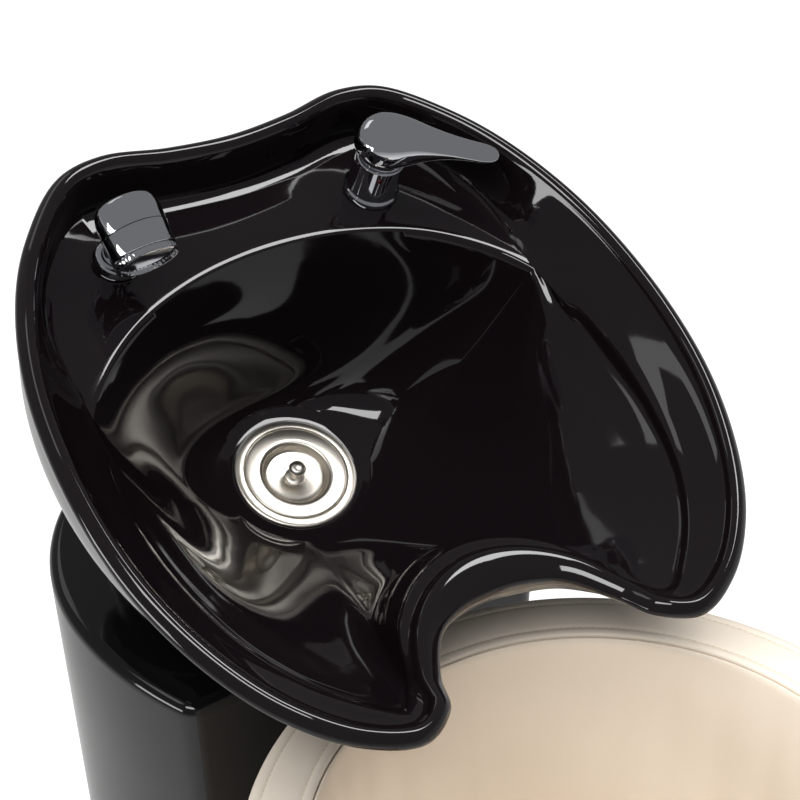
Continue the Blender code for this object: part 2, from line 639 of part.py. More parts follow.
rear = turned("barrel_rear", [
    (0, -gap / 2), (barrel_r - mm, -gap / 2), (barrel_r, -mm), (barrel_r, -half_l * .45),
    (barrel_r * .95, -half_l * .75),
    (barrel_r * .83, -half_l * .93), (barrel_r * .62, -half_l), (0, -half_l)], None, 28, cutter=True,
    **barrel_turn)
boolean(spray_body, rear, "UNION")
boolean(spray_body, disc("spray_front_room", barrel_r + gap, -gap / 2, barrel_l, None, 28, cutter=True,
                         **barrel_turn))
face = half_l * .78
turned("spray_front", [(0, face - gap), (barrel_r * .97, face - gap), (barrel_r * .995, face - 2 * mm),
                       (barrel_r, mm),
                       (barrel_r - mm, gap / 2), (0, gap / 2)], chrome, 28, **barrel_turn)
teeth = 20
wheel = []
for radius, z in ((barrel_r * .95, face), (barrel_r * .98, face + 1.2 * mm), (barrel_r * .97, half_l - mm),
                  (barrel_r * .9, half_l), (barrel_r * .84, half_l), (barrel_r * .82, half_l - 2.5 * mm)):
    notched = radius - 0.7 * mm * (face < z < half_l)
    wheel.append([((radius, notched)[i % 2] * math.cos(math.pi * i / teeth),
                   (radius, notched)[i % 2] * math.sin(math.pi * i / teeth), z) for i in range(2 * teeth)])
loft("spray_face", wheel, chrome, **barrel_turn)
hose_low = neck_low - spray_pull + 3 * mm
disc("spray_hose_upper", spray_hose_r, hose_low, neck_low - gap, hose_skin, 12, **on_spray)

# Pedestal: one moulded shell with a flat front, bulged sides and a port in its top.
side_start = math.asin((ped_front - ped_mid_y) / ped_front_len)


def pedestal_outline(inset=0.0):
    turns = np.linspace(side_start, math.pi / 2, 15)[1:]
    half = [(ped_half * math.cos(t), ped_mid_y + (ped_back_len if t > 0 else ped_front_len) * math.sin(t)) for t in turns]
    corner = np.array((ped_half * math.cos(side_start), ped_front))
    along = (np.array(half[0]) - corner) / np.linalg.norm(np.array(half[0]) - corner)
    a, c = corner - (ped_corner, 0), corner + along * ped_corner
    bend = [(1 - t) ** 2 * a + 2 * t * (1 - t) * corner + t * t * c for t in (0, .3, .7, 1)]
    right = [(0, ped_front), (corner[0] * .5, ped_front)] + [tuple(b) for b in bend] + half
    right[-1] = (0, right[-1][1])
    away = -outward(np.array(right))
    line = np.array(right) - away * inset
    line[(0, -1), 0] = 0
    return np.vstack([line, line[-2:0:-1] * (-1, 1)])


def pedestal_ring(z, inset=0.0):
    share = z / ped_top
    line = pedestal_outline(inset) * (ped_foot_scale + (1 - ped_foot_scale) * share, 1)
    return [(x, y, z) for x, y in line]


def port_ring(z):
    mid, half_y, power = (port_y0 + port_y1) / 2, (port_y1 - port_y0) / 2, 6
    out = []
    for x, y in pedestal_outline(ped_edge):
        t = math.atan2(y - mid, x)
        r = ((abs(math.cos(t)) / port_x) ** power + (abs(math.sin(t)) / half_y) ** power) ** (-1 / power)
        out.append((r * math.cos(t), mid + r * math.sin(t), z))
    return out


def edge_rings(inset):
    return [pedestal_ring(ped_top - inset - ped_edge + (ped_edge) * math.sin(t),
                          inset + ped_edge * (1 - math.cos(t)))
            for t in np.radians((0, 30, 60, 90))]


shell_rings = ([pedestal_ring(ped_clear), pedestal_ring(ped_top / 2)] + edge_rings(0) + [port_ring(ped_top)]
               + [port_ring(ped_top - ped_wall)] + edge_rings(ped_wall)[::-1][::3]
               + [pedestal_ring(ped_top / 2, ped_wall), pedestal_ring(ped_clear, ped_wall)])
shell = loft("pedestal_shell", shell_rings, gelcoat, closed=True)
door = loft("rear_door", shell_rings, gelcoat, closed=True)


def door_box(name, grow):
    line = round_rect(-door_half - grow, door_z0 - grow, door_half + grow, door_z1 + grow, 20 * mm + grow)
    rings = [[(x, y, z) for x, z in line] for y in (ped_mid_y + 60 * mm, ped_mid_y + ped_back_len + 60 * mm)]
    return loft(name, rings, None, cutter=True)


boolean(door, door_box("door_panel", 0), "INTERSECT")
lap = ped_wall + 3 * gap
band_z = (door_z0 - 60 * mm, door_z1 + 60 * mm)


def wall_band(name, outer, inner):
    # a hoop of the side wall between two depths in from the outer face
    return loft(name, [pedestal_ring(band_z[0], outer), pedestal_ring(band_z[1], outer),
                       pedestal_ring(band_z[1], inner), pedestal_ring(band_z[0], inner)], None, closed=True,
                       cutter=True)


flange = wall_band("door_flange", ped_wall - mm, lap + 4 * mm)
boolean(flange, door_box("door_flange_outside", door_lap), "INTERSECT")
boolean(flange, door_box("door_flange_inside", -door_lap))
room = wall_band("door_room", -10 * mm, lap)
boolean(room, door_box("door_room_edge", door_gap), "INTERSECT")
boolean(shell, flange, "UNION")
boolean(shell, room)
tongue_hole = block("tongue_hole", (-tongue_half - mm, ped_front - 20 * mm, -mm),
                    (tongue_half + mm, ped_front + 30 * mm, floor_plate_t + gap), None, cutter=True)
boolean(shell, tongue_hole)
for name, sx in (("left", -1), ("right", 1)):
    z = door_z1 - 30 * mm
    wide = ped_half * (ped_foot_scale + (1 - ped_foot_scale) * z / ped_top)
    x = door_half - 12 * mm
    y = ped_mid_y + ped_back_len * math.sqrt(1 - (x / wide) ** 2)
    away = math.atan2((y - ped_mid_y) / ped_back_len**2, x / wide**2)
    turn = away if sx > 0 else math.pi - away
    at = (sx * x + gap * math.cos(turn), y + gap * math.sin(turn), z)
    spin = (0, math.pi / 2, turn)
    turned(f"door_screw_{name}", [(0, 2.4 * mm), (3 * mm, 2 * mm), (5 * mm, gap), (2 * mm, gap),
                                  (2 * mm, -12 * mm), (0, -12 * mm)],
           zinc, 12, at=at, turn=spin)
    drill = disc(f"door_drill_{name}", 2 * mm + gap, -20 * mm, 10 * mm, None, 10, at=at, turn=spin,
                 cutter=True)
    boolean(door, drill)
    boolean(shell, drill)

# Steel inside: floor plate with its tongue to the chair, posts and top plate.
foot_line = [(x * ped_foot_scale, y) for x, y in pedestal_outline(ped_wall + 2 * mm)]
floor_plate = slab("floor_plate", foot_line, 0, floor_plate_t, steel)
tongue = slab("tongue", round_rect(-tongue_half, plinth_front + 60 * mm, tongue_half, ped_front + 60 * mm,
                                   10 * mm), 0, floor_plate_t,
              None, cutter=True)
boolean(floor_plate, tongue, "UNION")
boolean(floor_plate, disc("spigot_hole", spigot_r + gap, -10 * mm, 20 * mm, None, 16, at=(*spigot_at, 0),
                          cutter=True))
under_top = ped_top - ped_wall - gap
top_plate = slab("top_plate", round_rect(-.778 * ped_half, ped_front + 55 * mm, .778 * ped_half,
                                         ped_mid_y + .34 * ped_back_len, 15 * mm), under_top - top_plate_t,
                                         under_top, steel)
boolean(top_plate, loft("port_cut", [port_ring(under_top - 30 * mm), port_ring(under_top + 30 * mm)], None,
                        cutter=True))
for side in ("left", "right"):
    for end in ("front", "back"):
        for piece in (shell, top_plate):
            boolean(piece, bpy.data.objects[f"bolt_hole_{side}_{end}"])
for side, sign in (("left", -1), ("right", 1)):
    x = sign * post_x
    outer = round_rect(x - post / 2, post_y - post / 2, x + post / 2, post_y + post / 2, 5 * mm, 3)
    inner = round_rect(x - post / 2 + post_wall, post_y - post / 2 + post_wall, x + post / 2 - post_wall,
                       post_y + post / 2 - post_wall, 2 * mm, 3)
    frame_slab(f"post_{side}", outer, inner, floor_plate_t + gap, under_top - top_plate_t - gap, steel)

# Waste hose and spigot, supply unions and hoses. The way of a hose through the pedestal is given as
# shares of the pedestal's half width, of its length behind the middle, and of its height.
def inside_pedestal(*shares):
    return [(x * ped_half, ped_mid_y + y * ped_back_len, z * ped_top) for x, y, z in shares]


spigot_bore = waste_hose_r + 2 * gap
turned("waste_spigot", [
    (spigot_bore, spigot_top), (spigot_r, spigot_top), (spigot_r, floor_plate_t + 5 * mm),
    (spigot_r + 12 * mm, floor_plate_t + 5 * mm),
    (spigot_r + 12 * mm, floor_plate_t + gap), (spigot_r, floor_plate_t + gap), (spigot_r, mm),
    (spigot_bore, mm)],
    black_plastic, 16, at=(*spigot_at, 0))
tail = basin_point(0, 0, tail_end - 2 * gap)
down = np.array((0, tilt_s, -tilt_c))
tube("waste_hose", [tail, tail + down * 2 * waste_hose_r,
                    *inside_pedestal((0, .234, .83), (.094, .298, .585), (.094, .426, .34)),
                    *((*spigot_at, spigot_top * share) for share in (2.33, 1.33, .5))], waste_hose_r,
                    black_plastic, 3, 2)
ports = []
for i in range(3):
    turn = 2 * math.pi * i / 3 + math.radians(20)
    ports.append((mixer_at[0] + 9 * mm * math.cos(turn), mixer_at[1] + 9 * mm * math.sin(turn)))
port_h = deck_h + spigot_end - gap
union_top = 42 * mm
for name, port, at, cross in (("hot", ports[0], union_at[1], (.34, .519)),
                              ("cold", ports[2], union_at[0], (.34, .349))):
    turned(f"{name}_union", [(0, union_top), (union_r - 2 * mm, union_top), (union_r, union_top - 2 * mm),
                             (union_r, floor_plate_t + gap),
                             (0, floor_plate_t + gap)], brass, 6, at=(*at, 0))
    tube(f"{name}_hose", [basin_point(*port, port_h), basin_point(*port, port_h - 50 * mm),
                          basin_point(port[0] - 8 * mm, port[1], 30 * mm),
                          *inside_pedestal((*cross, 1.015), (*cross, .815)),
                          (at[0] - 10 * mm, at[1], ped_top * .385),
                          (*at, union_top + 58 * mm), (*at, union_top + gap)],
         hose_r, hose_skin)
hose_start = (spray_at[0], spray_at[1], deck_h + hose_low - gap)
tube("spray_hose_lower", [
    basin_point(*hose_start), *(basin_point(*hose_start[:2], hose_start[2] - d * mm) for d in (8, 25)),
    *inside_pedestal((-.33, .519, 1.008), (-.292, .511, .8), (-.236, .511, .554), (-.094, .511, .4615),
                     (.165, .519, .585), (.2075, .4766, .8), (.236, .434, 1.008)),
    basin_point(92 * mm, 146 * mm, 30 * mm),
    basin_point(ports[1][0], ports[1][1], port_h - 50 * mm), basin_point(*ports[1], port_h)], hose_r,
    hose_skin)

# Tub chair. A U runs round the back from one arm front to the other; each layer is a section swept
# along it, given by its distance in from the outer face and by its share of the height.
board_top = board_z + board_t
tub_turns = np.linspace(math.pi, 0, 25)


def tub_line():
    arms = np.linspace(tub_front, tub_y, 4)[:-1]
    left = [((-tub_r, y), (-1, 0)) for y in arms]
    arc = [((tub_r * math.cos(t), tub_y + tub_r * math.sin(t)),
            (math.cos(t), math.sin(t))) for t in tub_turns]
    return left + arc + [((tub_r, y), (1, 0)) for y in arms[::-1]]


def rim_at(y):
    share = min(max((tub_y - y) / (tub_y - tub_front), 0), 1)
    return tub_rim_z - arm_drop * share * share * (3 - 2 * share)


def lean(z):
    return tub_taper * (tub_rim_z - z) / (tub_rim_z - board_top)


def tub_layer(name, section, low, drop, skin):
    rings = []
    for (x, y), (ax, ay) in tub_line():
        top = rim_at(y) - drop
        row = []
        for inset, share in section:
            z = low + (top - low) * share
            d = inset + lean(z)
            row.append((x - ax * d, y - ay * d, z))
        rings.append(row)
    return loft(name, rings, skin)


frame_in = outer_pad_t + gap
pad_in = frame_in + tub_frame_t + gap
tub_wall = pad_in + inner_pad_t
under_band = band_t + gap
tub_layer("outer_cover", [(1.5 * mm, 0), (-1.5 * mm, .1), (-2 * mm, .5), (-mm, .93), (mm, 1),
                          (outer_pad_t, 1), (outer_pad_t, 0)],
          board_top + gap, under_band, leather)
tub_layer("tub_frame", [(frame_in, 0), (frame_in, 1), (frame_in + tub_frame_t, 1),
                        (frame_in + tub_frame_t, 0)],
          board_top + gap, under_band, plywood)
tub_layer("inner_pad", [(pad_in, 0), (pad_in, 1), (tub_wall - mm, 1), (tub_wall + 2 * mm, .9),
                        (tub_wall + 6 * mm, .5),
                        (tub_wall + 3 * mm, .12), (tub_wall - 3 * mm, 0)], seat_z + gap + mm, under_band,
                        leather)
rim_rings = []
for (x, y), (ax, ay) in tub_line():
    top, row = rim_at(y), []
    for inset, height in ((-2 * mm, -band_t), (-2.5 * mm, -5 * mm), (mm, -mm), (tub_wall / 2, mm),
                          (tub_wall - mm, -mm), (tub_wall + 2.5 * mm, -5 * mm),
                          (tub_wall + 2 * mm, -band_t)):
        row.append((x - ax * inset, y - ay * inset, top + height))
    rim_rings.append(row)
loft("top_band", rim_rings, leather)
front_rim = rim_at(tub_front)
for side, sign in (("left", -1), ("right", 1)):
    line = []
    for inset, z in ((-2 * mm, front_rim - 5 * mm), (4 * mm, front_rim), (tub_wall - 4 * mm, front_rim),
                     (tub_wall + 2 * mm, front_rim - 5 * mm),
                     (tub_wall + 2 * mm, board_top + gap), (-2 * mm, board_top + gap)):
        line.append((sign * (tub_r - inset - lean(z)), z))
    centre = np.mean(line, axis=0)
    rings = [[(*(centre + (np.array(p) - centre) * (1 - shrink)), y) for p in line]
             for y, shrink in ((tub_front - gap, 0), (tub_front - gap - facing_t * .6, 0),
                               (tub_front - gap - facing_t, .12))]
    loft(f"arm_facing_{side}", [[(x, y, z) for x, z, y in row] for row in rings], leather)


def seat_line(half, front, corner):
    arc = [(half * math.cos(t), tub_y + half * math.sin(t)) for t in tub_turns]
    bend = np.linspace(0, math.pi / 2, 5)
    right = [(half - corner + corner * math.cos(t), front + corner - corner * math.sin(t)) for t in bend]
    left = [(-x, y) for x, y in right[::-1]]
    return arc + right + left


seat_frame_half = tub_r - lean(board_top) - frame_in - tub_frame_t - gap
seat_front = tub_front + apron_t + gap
box_out = seat_line(seat_frame_half, seat_front, 6 * mm)
box_in = seat_line(seat_frame_half - seat_wall, seat_front + seat_wall, 4 * mm)
roof_z = seat_z - gap
seat_box = slab("seat_frame", box_out, board_top + gap, roof_z, plywood)
boolean(seat_box, slab("seat_hollow", box_in, board_top - 20 * mm, roof_z - seat_wall, None, cutter=True))
apron_half = seat_frame_half
block("front_apron", (-apron_half, tub_front - gap, board_top + gap),
      (apron_half, tub_front + apron_t, seat_z - gap), leather, 4 * mm)
cushion_half = tub_r - lean(seat_z + seat_t / 2) - tub_wall - 8 * mm
cushion_front = tub_front - 6 * mm
cushion = []
for inset, z in ((16 * mm, 0), (3 * mm, .14), (0, .42), (0, .6), (4 * mm, .86), (18 * mm, 1)):
    cushion.append([(x, y, seat_z + seat_t * z) for x, y in seat_line(cushion_half - inset,
        cushion_front + inset, 45 * mm)])
middle = np.array((0, (cushion_front + tub_y + cushion_half) / 2))
rim_line = np.array(seat_line(cushion_half - 18 * mm, cushion_front + 18 * mm, 45 * mm))
for share in (.78, .5, .2):
    flat = middle + (rim_line - middle) * share
    cushion.append([(x, y, seat_z + seat_t + seat_crown * (1 - share**2)) for x, y in flat])
loft("seat_cushion", cushion, leather)
board_half = tub_r - lean(board_top) - 3 * mm
slab("base_board", seat_line(board_half, tub_front + 2 * mm, 10 * mm), board_z + gap, board_top, plywood)
plinth = frame_slab("plinth", seat_line(plinth_r, plinth_front, 30 * mm),
                    seat_line(plinth_r - plinth_wall, plinth_front + plinth_wall, 20 * mm), 0, board_z,
                    black_plastic)
boolean(plinth, block("plinth_notch", (-tongue_half - mm, tub_y, -mm),
                      (tongue_half + mm, tub_y + plinth_r + 50 * mm, floor_plate_t + gap),
                      None, cutter=True))
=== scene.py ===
import json
import math

import bmesh
import bpy
import numpy as np
from mathutils import Matrix, Vector

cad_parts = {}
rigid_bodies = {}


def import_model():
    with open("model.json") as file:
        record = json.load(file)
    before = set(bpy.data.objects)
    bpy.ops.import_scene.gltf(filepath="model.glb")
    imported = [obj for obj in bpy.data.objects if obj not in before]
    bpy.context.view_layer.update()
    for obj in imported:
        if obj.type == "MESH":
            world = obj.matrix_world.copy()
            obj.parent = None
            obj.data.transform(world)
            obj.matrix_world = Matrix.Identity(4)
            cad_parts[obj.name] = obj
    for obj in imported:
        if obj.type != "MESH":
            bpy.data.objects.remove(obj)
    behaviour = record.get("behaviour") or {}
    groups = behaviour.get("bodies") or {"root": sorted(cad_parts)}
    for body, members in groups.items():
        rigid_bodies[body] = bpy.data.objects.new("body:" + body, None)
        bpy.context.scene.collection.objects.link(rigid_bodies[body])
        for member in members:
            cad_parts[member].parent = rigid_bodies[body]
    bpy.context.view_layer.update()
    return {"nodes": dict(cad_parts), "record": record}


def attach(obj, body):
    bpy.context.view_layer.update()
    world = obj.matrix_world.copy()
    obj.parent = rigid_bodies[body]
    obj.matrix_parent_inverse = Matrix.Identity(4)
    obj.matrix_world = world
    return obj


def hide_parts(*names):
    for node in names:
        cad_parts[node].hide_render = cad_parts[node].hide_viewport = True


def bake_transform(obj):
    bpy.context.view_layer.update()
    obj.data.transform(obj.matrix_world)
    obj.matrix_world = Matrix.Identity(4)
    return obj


for old in list(bpy.data.objects):
    bpy.data.objects.remove(old, do_unlink=True)
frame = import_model()
nodes = frame["nodes"]
scene = bpy.context.scene
mm = 0.001
weldGap, solidWeld = 0.000001, 0.00002      # points closer than this are one point
print("frame loaded:", len(nodes), "nodes")

# camera: a short telephoto that looks down at the basin from the client's left
cameraSet = {"place": (-0.6505, -1.1897, 1.794), "down": 35.48, "turn": 32.62, "lens": 85.44}
camera = bpy.data.objects.new("camera", bpy.data.cameras.new("camera"))
scene.collection.objects.link(camera)
camera.location = cameraSet["place"]
camera.rotation_euler = (math.radians(90 - cameraSet["down"]), 0, math.radians(-cameraSet["turn"]))
camera.data.lens = cameraSet["lens"]
camera.data.sensor_width = 36
camera.data.clip_end = 60
scene.camera = camera


def hexColour(code):
    # an sRGB hex value as linear light
    parts = [int(code[i:i + 2], 16) / 255 for i in (1, 3, 5)]
    return (*(c / 12.92 if c <= 0.04045 else ((c + 0.055) / 1.055) ** 2.4 for c in parts), 1)


def addNode(tree, kind, inputs=None, **settings):
    node = tree.nodes.new(kind)
    for key, value in settings.items():
        setattr(node, key, value)
    for key, value in (inputs or {}).items():
        if isinstance(value, bpy.types.NodeSocket):
            tree.links.new(value, node.inputs[key])
        else:
            node.inputs[key].default_value = value
    return node


def spread(tree, shader, socket, fac, low, high):
    # runs a pattern's 0 to 1 over the given span of a shader socket
    span = addNode(tree, "ShaderNodeMapRange", {"Value": fac, "To Min": low, "To Max": high})
    tree.links.new(span.outputs["Result"], shader.inputs[socket])


def mixTones(tree, socket, fac, first, second):
    # runs a pattern's 0 to 1 from one hex colour to another
    tone = addNode(tree, "ShaderNodeMix", {"Factor": fac, "A": hexColour(first), "B": hexColour(second)},
                   data_type="RGBA")
    tree.links.new(tone.outputs[2], socket)


# studio: a white floor under a grey ceiling. the boxes and cards make the highlights on the glaze, flags keep
# three of them off the chrome, and the fill lights the leather without being mirrored
studioSet = {
    "floorSize": 24, "floorDrop": 0.0005, "floorSeen": 0.82, "floorGlow": 0.2,
    "ceiling": "#7a7a7c", "ceilingStrength": 0.95, "backdrop": "#f4f4f4",
    "boxes": {
        "overBox": {"place": (0.8, -0.56, 3.04), "aim": (0, 0, 0.85), "size": (0.8, 1), "watts": 30, "flagged": True},
        "sideBox": {"place": (-1.34, -1.15, 2.72), "aim": (0, -0.2, 0.85), "size": (1.8, 0.55), "watts": 32,
                    "flagged": True},
        "edgeCard": {"place": (-1.45, 0.84, 2.84), "aim": (0, 0, 0.85), "size": (1, 0.5), "watts": 2.5,
                     "flagged": True},
        "window": {"place": (-2.5, 0.09, 1.05), "aim": (0, 0, 0.95), "size": (1.3, 0.5), "watts": 16},
        "backCard": {"place": (-0.36, 2.06, 2.2), "aim": (0, 0, 0.85), "size": (1.1, 0.6), "watts": 1.5},
        "fill": {"place": (-0.4, -0.9, 4.2), "aim": (0, -0.4, 0), "size": (3, 3), "watts": 125, "mirrored": False},
    },
}
scene.view_settings.view_transform = "Standard"
scene.view_settings.look = "None"
world = bpy.data.worlds.new("studio")
scene.world = world
world.use_nodes = True
# the camera sees a white backdrop where the floor ends, everything else a grey ceiling
sky = world.node_tree.nodes["Background"]
seen = addNode(world.node_tree, "ShaderNodeLightPath").outputs["Is Camera Ray"]
mixTones(world.node_tree, sky.inputs["Color"], seen, studioSet["ceiling"], studioSet["backdrop"])
sky.inputs["Strength"].default_value = studioSet["ceilingStrength"]
boxes = {}
for name, box in studioSet["boxes"].items():
    lamp = bpy.data.lights.new(name, "AREA")
    lamp.shape, lamp.size, lamp.size_y, lamp.energy = "RECTANGLE", *box["size"], box["watts"]
    holder = bpy.data.objects.new(name, lamp)
    scene.collection.objects.link(holder)
    holder.visible_glossy = box.get("mirrored", True)
    holder.location = box["place"]
    holder.rotation_mode = "QUATERNION"
    holder.rotation_quaternion = (Vector(box["aim"]) - Vector(box["place"])).to_track_quat("-Z", "Y")
    boxes[name] = holder
floorMaterial = bpy.data.materials.new("matt white paint")
floorMaterial.use_nodes = True
floorTree = floorMaterial.node_tree
floorShader = floorTree.nodes["Principled BSDF"]
floorShader.inputs["Base Color"].default_value = hexColour("#b4b4b3")
floorShader.inputs["Roughness"].default_value = 0.7
floorShader.inputs["Emission Color"].default_value = (1, 1, 1, 1)
# lit to white where it is seen, dimmer as a mirror image in the gloss
seen = addNode(floorTree, "ShaderNodeLightPath").outputs["Is Camera Ray"]
spread(floorTree, floorShader, "Emission Strength", seen, studioSet["floorGlow"], studioSet["floorSeen"])
floorBmesh = bmesh.new()
bmesh.ops.create_grid(floorBmesh, x_segments=2, y_segments=2, size=studioSet["floorSize"] / 2,
                      matrix=Matrix.Translation((0, 0, -studioSet["floorDrop"])))
floorMesh = bpy.data.meshes.new("floor")
floorBmesh.to_mesh(floorMesh)
floorBmesh.free()
floor = bpy.data.objects.new("floor", floorMesh)
floor.data.materials.append(floorMaterial)
scene.collection.objects.link(floor)
print("camera and studio ready")


def startMaterial(name, code, roughness, metallic=0.0, **sockets):
    made = bpy.data.materials.new(name)
    made.use_nodes = True
    tree = made.node_tree
    shader = tree.nodes["Principled BSDF"]
    shader.inputs["Base Color"].default_value = hexColour(code)
    shader.inputs["Roughness"].default_value = roughness
    shader.inputs["Metallic"].default_value = metallic
    for key, value in sockets.items():
        shader.inputs[key.replace("_", " ")].default_value = value
    return made, tree, shader, addNode(tree, "ShaderNodeTexCoord").outputs["Object"]


def noise(tree, coords, size, detail):
    # a soft random pattern with features about size across
    return addNode(tree, "ShaderNodeTexNoise", {"Vector": coords, "Scale": 1 / size, "Detail": detail}).outputs["Fac"]


def raiseBump(tree, shader, fac, depth, strength=1.0, under=None):
    inputs = {"Height": fac, "Distance": depth, "Strength": strength}
    if under:
        inputs["Normal"] = under
    bump = addNode(tree, "ShaderNodeBump", inputs)
    tree.links.new(bump.outputs["Normal"], shader.inputs["Normal"])
    return bump.outputs["Normal"]


def grained(name, code, roughness, span, size, detail, metallic=0.0, bump=0.0):
    # a skin whose gloss, and relief if any, follow one soft pattern
    made, tree, shader, coords = startMaterial(name, code, roughness, metallic)
    grain = noise(tree, coords, size, detail)
    spread(tree, shader, "Roughness", grain, *span)
    if bump:
        raiseBump(tree, shader, grain, bump)
    return made


# black sanitary glaze, fired: deep black under clear glass, with the faint swell that glaze keeps as it runs
glaze, tree, shader, coords = startMaterial("black glazed fireclay", "#0d090b", 0.045, IOR=1.52)
swell = noise(tree, coords, 45 * mm, 1.0)
film = noise(tree, coords, 30 * mm, 3.0)
spread(tree, shader, "Roughness", film, 0.02, 0.075)
raiseBump(tree, shader, swell, 0.12 * mm)

# black gelcoat, moulded and polished: gloss with a fine orange peel
gelcoat, tree, shader, coords = startMaterial("black polished gelcoat", "#0b0b0c", 0.07, IOR=1.5)
peel = noise(tree, coords, 6 * mm, 2.0)
haze = noise(tree, coords, 60 * mm, 3.0)
spread(tree, shader, "Roughness", haze, 0.05, 0.11)
raiseBump(tree, shader, peel, 0.012 * mm)

# bright chrome on brass, buffed: a mirror with a slight grease haze
chrome = grained("bright chrome plate", "#e2e4e8", 0.05, (0.02, 0.08), 9 * mm, 4.0, 1.0, 0.008 * mm)

# stainless sheet, spun and brushed on the lathe: streaks run round, so light fans out across them.
# the turning lines are drawn at 0.7 mm, coarser than real, so that they show
spun, tree, shader, coords = startMaterial("spun stainless sheet", "#d6d0c6", 0.34, 1.0, Anisotropic=0.8)
ringMap = addNode(tree, "ShaderNodeUVMap", uv_map="around")
tangent = addNode(tree, "ShaderNodeTangent", direction_type="UV_MAP", uv_map="around")
tree.links.new(tangent.outputs["Tangent"], shader.inputs["Tangent"])
lathe = addNode(tree, "ShaderNodeMapping", {"Vector": ringMap.outputs["UV"], "Scale": (3, 1 / (0.7 * mm), 1)})
lines = noise(tree, lathe.outputs["Vector"], 1, 3.0)
spread(tree, shader, "Roughness", lines, 0.27, 0.42)
raiseBump(tree, shader, lines, 0.01 * mm)

# mild steel under black powder coat: satin, with a fine pebble
powder = grained("black powder coat", "#19191a", 0.5, (0.38, 0.62), 1.2 * mm, 3.0, bump=0.05 * mm)

# zinc plated steel, barrel finished: grey with a crystal mottle
zinc, tree, shader, coords = startMaterial("zinc plated steel", "#b4b7b8", 0.36, 1.0)
flakes = addNode(tree, "ShaderNodeTexVoronoi", {"Vector": coords, "Scale": 1 / (2.5 * mm)})
spread(tree, shader, "Roughness", flakes.outputs["Color"], 0.28, 0.48)
mixTones(tree, shader.inputs["Base Color"], flakes.outputs["Distance"], "#a9acae", "#c6c8c8")

# brass bar, turned: warm, with lathe haze
brass = grained("turned brass", "#c39f58", 0.3, (0.22, 0.42), 3 * mm, 4.0, 1.0)

# moulded black rubber: dull, with a dusty bloom
rubber, tree, shader, coords = startMaterial("moulded black rubber", "#1a1a1b", 0.8)
bloom = noise(tree, coords, 8 * mm, 5.0)
mixTones(tree, shader.inputs["Base Color"], bloom, "#121213", "#262627")
raiseBump(tree, shader, bloom, 0.04 * mm)

# stainless wire braid over a hose: crossing strands 2 mm apart
braid, tree, shader, coords = startMaterial("stainless wire braid", "#a6a8ab", 0.35, 1.0)
strands = []
for lean in (0.9, -0.9):
    leant = addNode(tree, "ShaderNodeMapping", {"Vector": coords, "Rotation": (lean, lean, 0)})
    strands.append(addNode(tree, "ShaderNodeTexWave", {"Vector": leant.outputs["Vector"], "Scale": 0.31 / (2 * mm)},
                           bands_direction="Z").outputs["Fac"])
woven = addNode(tree, "ShaderNodeMath", {0: strands[0], 1: strands[1]}, operation="MAXIMUM")
raiseBump(tree, shader, woven.outputs["Value"], 0.3 * mm)

# grey and black plastic, moulded: a spark-eroded mould leaves a 0.8 mm grain
greyPlastic = grained("moulded grey nylon", "#8a8c8f", 0.45, (0.36, 0.55), 0.8 * mm, 2.0, bump=0.02 * mm)
blackPlastic = grained("moulded black polypropylene", "#141415", 0.42, (0.34, 0.55), 0.8 * mm, 2.0, bump=0.03 * mm)

# cream upholstery leather, coated and embossed: pores 1.1 mm apart, a soft sheen, and a slow drift of tone
leather, tree, shader, coords = startMaterial("cream coated leather", "#e6dac6", 0.46, IOR=1.46)
drift = noise(tree, coords, 140 * mm, 2.0)
mixTones(tree, shader.inputs["Base Color"], drift, "#e2d4c2", "#eae0d2")
pores = addNode(tree, "ShaderNodeTexVoronoi", {"Vector": coords, "Scale": 1 / (1.1 * mm)}, feature="DISTANCE_TO_EDGE")
creases = noise(tree, coords, 7 * mm, 4.0)
spread(tree, shader, "Roughness", creases, 0.4, 0.54)
soft = raiseBump(tree, shader, creases, 0.05 * mm)
raiseBump(tree, shader, pores.outputs["Distance"], 0.12 * mm, 0.5, soft)

# twisted polyester thread, a shade darker than the leather
thread, tree, shader, coords = startMaterial("cream sewing thread", "#d9ccb4", 0.6)
twist = addNode(tree, "ShaderNodeTexWave", {"Vector": coords, "Scale": 0.31 / (0.6 * mm)}, bands_direction="DIAGONAL")
raiseBump(tree, shader, twist.outputs["Fac"], 0.1 * mm)

# birch plywood, sawn: pale and dull, with fibres that run one way
plywood, tree, shader, coords = startMaterial("birch plywood", "#b98f60", 0.65)
grain = (1 / (4 * mm), 1 / (60 * mm), 1 / (40 * mm))
stretched = addNode(tree, "ShaderNodeMapping", {"Vector": coords, "Scale": grain})
fibre = noise(tree, stretched.outputs["Vector"], 1, 5.0)
mixTones(tree, shader.inputs["Base Color"], fibre, "#a67c4f", "#cfab7c")
raiseBump(tree, shader, fibre, 0.08 * mm)

# deep red enamel, the mixer's index dot
redEnamel = grained("deep red enamel", "#3c0a0c", 0.2, (0.12, 0.3), 2 * mm, 2.0)

skinOf = {"glaze": glaze, "gelcoat": gelcoat, "chrome": chrome, "stainless": zinc, "black_steel": powder,
          "zinc_steel": zinc, "brass": brass, "rubber": rubber, "braided_hose": braid, "grey_plastic": greyPlastic,
          "black_plastic": blackPlastic, "cream_leather": leather, "plywood": plywood, "index_red": redEnamel}
slotOf = {part["node"]: part["material_slot"] for part in frame["record"]["subparts"]}
for name, node in nodes.items():
    node.data.materials.clear()
    node.data.materials.append(skinOf[slotOf[name]])
    node.data.shade_smooth()
    weld = node.modifiers.new("weld", "WELD")
    weld.merge_threshold = solidWeld
    split = node.modifiers.new("edges", "EDGE_SPLIT")
    split.split_angle = math.radians(32)
print("materials on the carried-over nodes")


